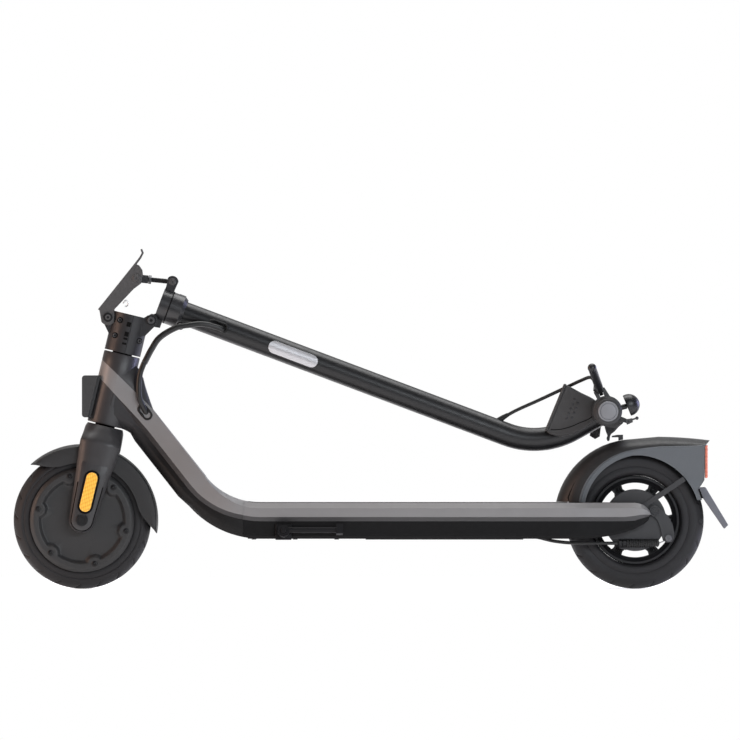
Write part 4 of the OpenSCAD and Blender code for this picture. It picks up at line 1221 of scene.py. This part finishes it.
def make_bellows():
    """Cable adjuster, its lock nut, the pleated rubber boot and the inner wire."""
    start = Vector(REAR_ROUTE[-1])
    hexagon = [(2.8, 0), (6.1, 0), (6.5, 0.5), (6.5, 5.0), (6.1, 5.5), (2.8, 5.5)]
    for k, shift in enumerate((0.0, 6.2)):
        soften(piece("adjuster_nut_%d" % k, lathe(hexagon, start + Vector((shift, 0, 0)), (1, 0, 0), 6),
                     "rim", "frame", 20), 0.4, 2)
    pleats = [(1.3, 11.8), (4.4, 11.8)]
    for i in range(14):
        x = 13.2 + 3.4 * i
        pleats += [(6.4 - 0.04 * i, x), (6.3 - 0.04 * i, x + 0.9), (4.7, x + 1.7), (4.7, x + 2.4)]
    pleats += [(3.6, 60.5), (1.3, 61.2)]
    piece("bellows", lathe(pleats, start, (1, 0, 0), 40), "bellows", "frame", 50)
    wire = [start + Vector((60, 0, 0)), Vector((436, -42, 70.5)), Vector((446, -42.6, 75.0))]
    piece("inner_wire", sweep(wire, 0.9, 8), "steel", "frame")


# ---- Stem and hinge ----

def make_grommets():
    """Oval rubber grommets where the loop enters the neck and the stem."""
    for name, body, centre, tilt, y, long, wide in (
            ("grommet_neck", "frame", middle("frame_grommet"), NECK, -27.6, 26, 14),
            ("grommet_stem", "stem", stem(97, STEM_OFFSET), FOLD, -17.3, 30, 14)):
        way = Vector((math.cos(tilt), 0, -math.sin(tilt)))
        off = Vector((math.sin(tilt), 0, math.cos(tilt)))
        ring = []
        for i in range(48):
            a = 2 * math.pi * i / 48
            stretch = (long - wide) / 2 * (1 if math.cos(a) > 0 else -1) * min(1.0, abs(math.cos(a)) * 6)
            ring.append((wide / 2 * math.cos(a) + stretch, wide / 2 * math.sin(a)))
        rows = []
        for grow, out in ((-3.4, -2.0), (-3.2, 1.2), (-2.2, 2.2), (-0.6, 2.3), (0.6, 1.4), (1.0, 0.0),
                          (1.0, -4.0)):
            row = []
            for u, v in ring:
                r = math.hypot(u, v)
                drop = v * v / (2 * STEM_R) if body == "stem" else 0.0
                p = centre + way * u * (1 + grow / r) + off * v * (1 + grow / r)
                row.append(Vector((p.x, y - out + drop, p.z)))
            rows.append(row)
        form = skin(rows, tube=True, caps=False)
        # A rubber face closes each grommet's opening; its dark is painted shade inside the hole.
        form[1].append(tuple(range(len(ring))))
        obj = piece(name, form, "rubber", body, 60)
        if body == "frame":
            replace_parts(obj, "frame_grommet")


def make_hinge():
    for node, material, width in (("hinge_base", "cast", 0.8), ("hinge_pins", "rim", 0.5),
                                  ("latch_lever", "lever", 0.7), ("stem_collar", "collar", 0.8)):
        cad_copy(node, material, width, 3)
    for k, (t, s) in enumerate(((-14.7, 305), (-16.9, 281), (21, 281))):
        place = steer(t, s, -15.8)
        head = [(3.2, -0.2), (3.2, 3.4), (2.8, 3.8), (1.7, 3.8), (1.7, 1.6), (0.01, 1.6), (0.01, -0.2)]
        piece("clamp_screw_%d" % k, lathe(head, place, (0, -1, 0), 24), "bolt", "steering", 40)
    # The slots in the hinge base are dark boxes: their black is painted shade inside the slots.
    for k, s in enumerate((301.5, 286.5, 279.5, 272)):
        tall = 7.0 if k < 2 else 3.0
        box = [steer(-3.4, s - tall / 2), steer(-3.4, s + tall / 2), steer(2.8, s + tall / 2),
               steer(2.8, s - tall / 2)]
        soften(piece("base_slot_%d" % k, slab([(p.x, p.z) for p in box], -28.0, -24.5),
                     "dark", "steering"), 0.4, 2)
    for name, place, body, r, y in (("lever_bolt_a", steer(-33.5, 304.7), "latch_lever", 6.6, 14.2),
                                    ("lever_bolt_b", steer(-5.9, 371.4), "latch_lever", 6.4, 14.0),
                                    ("fold_bolt", FOLD_HINGE, "steering", 8.2, 20.2),
                                    ("lug_bolt", stem(9.4, 65.4), "stem", 5.4, 9.2)):
        for side in (-1, 1):
            washer = [(0.01, 0), (r, 0), (r, 1.0), (r * 0.93, 1.4), (r * 0.72, 1.4), (r * 0.68, 1.0),
                      (r * 0.66, 2.0), (r * 0.6, 2.4), (r * 0.3, 2.4), (r * 0.28, 1.2), (0.01, 1.2)]
            piece(name + "_" + hand(side), lathe(washer, Vector((place.x, side * y, place.z)),
                                                 (0, side, 0), 32),
                  "bolt" if name == "fold_bolt" else "lever", body, 36)
    make_link()
    hook = [Vector((-372, -12.4, 428)), Vector((-367.5, -12.4, 432.5)), Vector((-364.2, -12.4, 429)),
            Vector((-365.4, -12.4, 424.2)), Vector((-369, -12.4, 423.4))]
    piece("lever_spring", sweep(smooth_path(hook, 5), 0.9, 8), "alloy", "latch_lever")


def make_link():
    """Latch link: forked eye, lock nut, threaded rod and rod end."""
    eye, lug = steer(-5.9, 371.4), stem(9.4, 65.4)
    way = (lug - eye).normalized()
    length = (lug - eye).length
    cad_copy("link_rod", "cast", 0.6, 2)
    thread = [(0.01, 0.0)]
    turns = int((length - 26) / 1.1)
    for i in range(turns):
        thread += [(3.75, 1.1 * i), (3.35, 1.1 * i + 0.55)]
    thread += [(0.01, 1.1 * turns)]
    piece("link_thread", lathe(thread, eye + way * 18.2, way, 24), "rim", "link", 60)
    nut = [(3.3, 0), (6.2, 0), (6.6, 0.5), (6.6, 3.8), (6.2, 4.3), (3.3, 4.3)]
    soften(piece("link_nut", lathe(nut, eye + way * 18.4, way, 6), "bolt", "link", 20), 0.3, 2)


def make_stem():
    """Stem with its blank badge, the groove in its collar and the cable tie."""
    cad_copy("stem_tube", "stem", 0.6, 2)
    badge = cad_copy("stem_badge", "badge", 0.35, 3)
    badge.data.shade_smooth()
    way = Vector((math.cos(FOLD), 0, -math.sin(FOLD)))
    # The collar's groove is a near-black band at the collar's surface: painted shade in the groove.
    form = lathe([(23.2, 17.2), (25.15, 17.2), (25.15, 19.0), (23.2, 19.0)], stem(0, STEM_OFFSET), way, 72)
    piece("collar_groove", form, "dark", "stem")
    clip_at = stem(44, STEM_OFFSET - 19.5, -19.0)
    loop = [clip_at + Vector((5.2 * math.cos(a), -3.0, 5.2 * math.sin(a))) for a in
            (math.radians(d) for d in range(20, 341, 20))]
    tie = cable_mesh("cable_clip", sweep(loop, 1.1, 8), "rubber")
    bend_at_hinge(tie)


# ---- Cockpit ----

def make_cowl():
    """Cowl behind the bar: crowned shell with a front frame, a seam marking its lower saddle band, and
    dimples.
    """
    outline = [(262.4, 236.4), (291.6, 306.4), (301, 301.6), (316, 293.4), (328, 287.8), (337, 282.5),
               (339, 262), (331.8, 249.4), (325.6, 244.2), (315.7, 238.6), (302, 231.6), (283.4, 227.9),
               (267, 231.8)]
    body = soften(piece("cowl_body", slab(outline, -31.5, 31.5), "cowl", "stem"), 6.0, 5, 25)
    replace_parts(body, "front_cowl")
    rim = [(259.9, 235.6), (289.4, 307.4), (293.4, 307.0), (264.6, 236.6)]
    soften(piece("cowl_frame", slab(rim, -32.4, 32.4), "cowl", "stem"), 1.5, 3)
    seam = smooth_path([(269, -32.0, 238.4), (283.3, -32.0, 239.0), (298.2, -32.0, 242.7),
                        (313.2, -32.0, 248.9), (326, -32.0, 254.4), (333, -31.0, 259.5)], 5)
    for side in (1, -1):
        line = [Vector((p.x, p.y * side + 0.35 * side, p.z)) for p in seam]
        piece("cowl_seam_" + hand(-side), sweep(line, 0.65, 8), "dark", "stem")
    for column, (x, z, count) in enumerate(((304.7, 284.0, 5), (309.8, 278.0, 4))):
        for k in range(count):
            for side in (-1, 1):
                place = (x - 2.9 * k, side * 31.2, z - 7.2 * k)
                dome = [(0.01, 0.75), (1.4, 0.6), (2.3, 0.3), (2.6, -0.4), (0.01, -0.4)]
                form = lathe(dome, place, (0, side, 0), 16)
                piece("cowl_dot_%d_%d_%s" % (column, k, "ab"[side > 0]), form, "plate", "stem", 60)


def make_grips():
    """Ribbed grips with a flange inboard and a ringed metal cap at each end."""
    y_end = high("grips").y
    for side in (-1, 1):
        name = hand(side)
        body = [(11.2, 100), (20.6, 100), (21.4, 101), (21.4, 104), (20.4, 105.2), (16.4, 106.4)]
        for i in range(26):
            y = 108 + 4.0 * i
            body += [(15.7, y), (16.1, y + 0.8), (16.1, y + 2.2), (15.7, y + 3.0)]
        body += [(16.6, y_end - 8), (17.8, y_end - 6.5), (18.6, y_end - 4.5), (18.6, y_end - 2.4),
                 (17.6, y_end - 1.3), (13.4, y_end - 1.0), (11.2, y_end - 3)]
        grip = piece("grip_" + name, lathe(body, (BAR.x, 0, BAR.z), (0, side, 0), 72), "grip", "stem", 50)
        cap = [(0.01, -2), (15.0, -2), (15.0, -0.7), (14.4, -0.1), (12.7, 0.0), (12.3, -0.9), (11.8, -0.9),
               (11.4, 0.1), (9.6, 0.3), (0.01, 0.35)]
        piece("grip_cap_" + name, lathe(cap, (BAR.x, side * y_end, BAR.z), (0, side, 0), 64),
              "cap", "stem", 28)
        if side < 0:
            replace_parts(grip, "grips")


def make_brake_lever():
    """Brake lever: flat-sided eye, a blade of oval section and the ball at its end."""
    pivot = Vector((343, -92, 296))
    axis = Vector((0.935, 0, 0.355))
    ball = Vector((329.6, -181, 331.2))
    ring = [(2.1, -2.8), (6.0, -2.8), (6.6, -2.2), (6.6, 2.2), (6.0, 2.8), (2.1, 2.8)]
    eye = piece("brake_lever_eye", lathe(ring, pivot, axis, 40), "stem", "brake_lever", 40)
    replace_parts(eye, "brake_lever")
    route = [(343.2, -96, 295), (342, -106, 298), (339.6, -122, 304.5), (336.2, -140, 313.4),
             (332.8, -160, 322.6), (330, -177, 330)]
    path = smooth_path(route, 5)
    radii = [mix(2.7, 4.3, ease(i / 9)) for i in range(len(path))]
    piece("brake_lever_blade", sweep(path, radii, 20, (axis, 1.45)), "stem", "brake_lever", 60)
    circle = [(max(0.01, 6.6 * math.sin(a)), 6.6 * math.cos(a))
              for a in (math.pi * k / 20 for k in range(21))]
    piece("brake_lever_ball", lathe(circle, ball, (0, -1, 0), 40), "stem", "brake_lever", 60)


def make_hook():
    """Fold hook: broad blade ending in a claw, on its pivot pin."""
    outline = [(359.1, 254.4), (370.5, 257.2), (380.1, 254.4), (378.3, 248.4), (371.1, 242.4),
               (365.2, 235.6),
               (359.8, 231.6), (358.6, 228.3), (357.6, 221.4), (354.4, 221.1), (353.1, 225.9),
               (354.9, 229.5), (352.5, 234.9), (350.4, 242.4), (352.5, 249.9)]
    hook = soften(piece("hook_blade", slab(outline, -5.8, 5.8), "cast", "fold_hook"), 1.8, 4, 24)
    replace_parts(hook, "fold_hook")
    pivot = Vector((369, 0, 247))
    for side in (-1, 1):
        socket_screw("hook_pin_" + hand(side), pivot + Vector((0, side * 5.6, 0)),
                     (0, side, 0), 3.0, "fold_hook")


def behind_axis(p):
    """Distance of a point behind the steering axis."""
    return (p.x - FRONT_HUB.x) * math.cos(LEAN) - (p.z - FRONT_HUB.z) * math.sin(LEAN)


def make_headlight():
    """Headlight body ending at the head tube's front, on a narrower mount."""
    front = HEAD_R - 0.3
    forward = (math.cos(LEAN), 0, -math.sin(LEAN))
    cuts = [(steer(-front - 0.3, 150), forward), (steer(-front + 0.3, 150), forward)]

    def narrow(p):
        if behind_axis(p) > -front:
            return Vector((p.x, max(-14.0, min(14.0, p.y)), p.z))
        return p

    cad_copy("headlight_housing", "plastic", 1.2, 3, shape=narrow, cuts=cuts)


def make_bell():
    """Bell and its striker, with the shapes they have in the CAD."""
    cad_copy("bell", "stem", 0.5, 2)
    cad_copy("bell_striker", "plastic", 0.3, 2)


REST = {
    "bottom_cover": ("plastic", 0.6), "cover_screws": ("bolt", 0.3), "charge_port": ("plastic", 0.4),
    "charge_cap": ("rubber", 0.5), "headlight_lens": ("clear", 0.8),
    "kickstand_bracket": ("stand", 0.8), "kickstand_leg": ("stand", 0.8),
    "drum_brake_plate": ("plate", 0.8), "fender_brackets": ("plate", 0.5),
    "tail_light": ("red", 1.2), "handlebar": ("stem", 0.6),
    "dash_housing": ("plastic", 1.0), "dash_lens": ("screen", 0.4),
    "power_button": ("red", 0.4), "control_clamps": ("plastic", 0.6),
    "throttle_lever": ("plastic", 1.5),
}
INNER = {
    "battery_pack": "wrap", "controller_box": "alloy", "motor_stator": "copper", "brake_shoes": "lining",
    "brake_drum": "steel", "hub_motor_shell": "alloy", "headset_bearings": "steel",
}

for node, material in INNER.items():
    keep(node, material)
for node, (material, width) in REST.items():
    cad_copy(node, material, width, 3 if width > 0.5 else 2)
make_deck()
make_neck()
make_head_tube()
make_tyre("tyre_front", "front_tyre", "front_wheel", 74.6)
make_tyre("tyre_rear", "rear_tyre", "rear_wheel", 67.0)
make_hub_covers()
make_rear_wheel()
make_brake_arm()
make_rear_fender()
make_front_fender()
make_fork()
make_cables()
make_grommets()
make_hinge()
make_stem()
make_cowl()
make_grips()
make_bell()
make_brake_lever()
make_hook()
make_headlight()
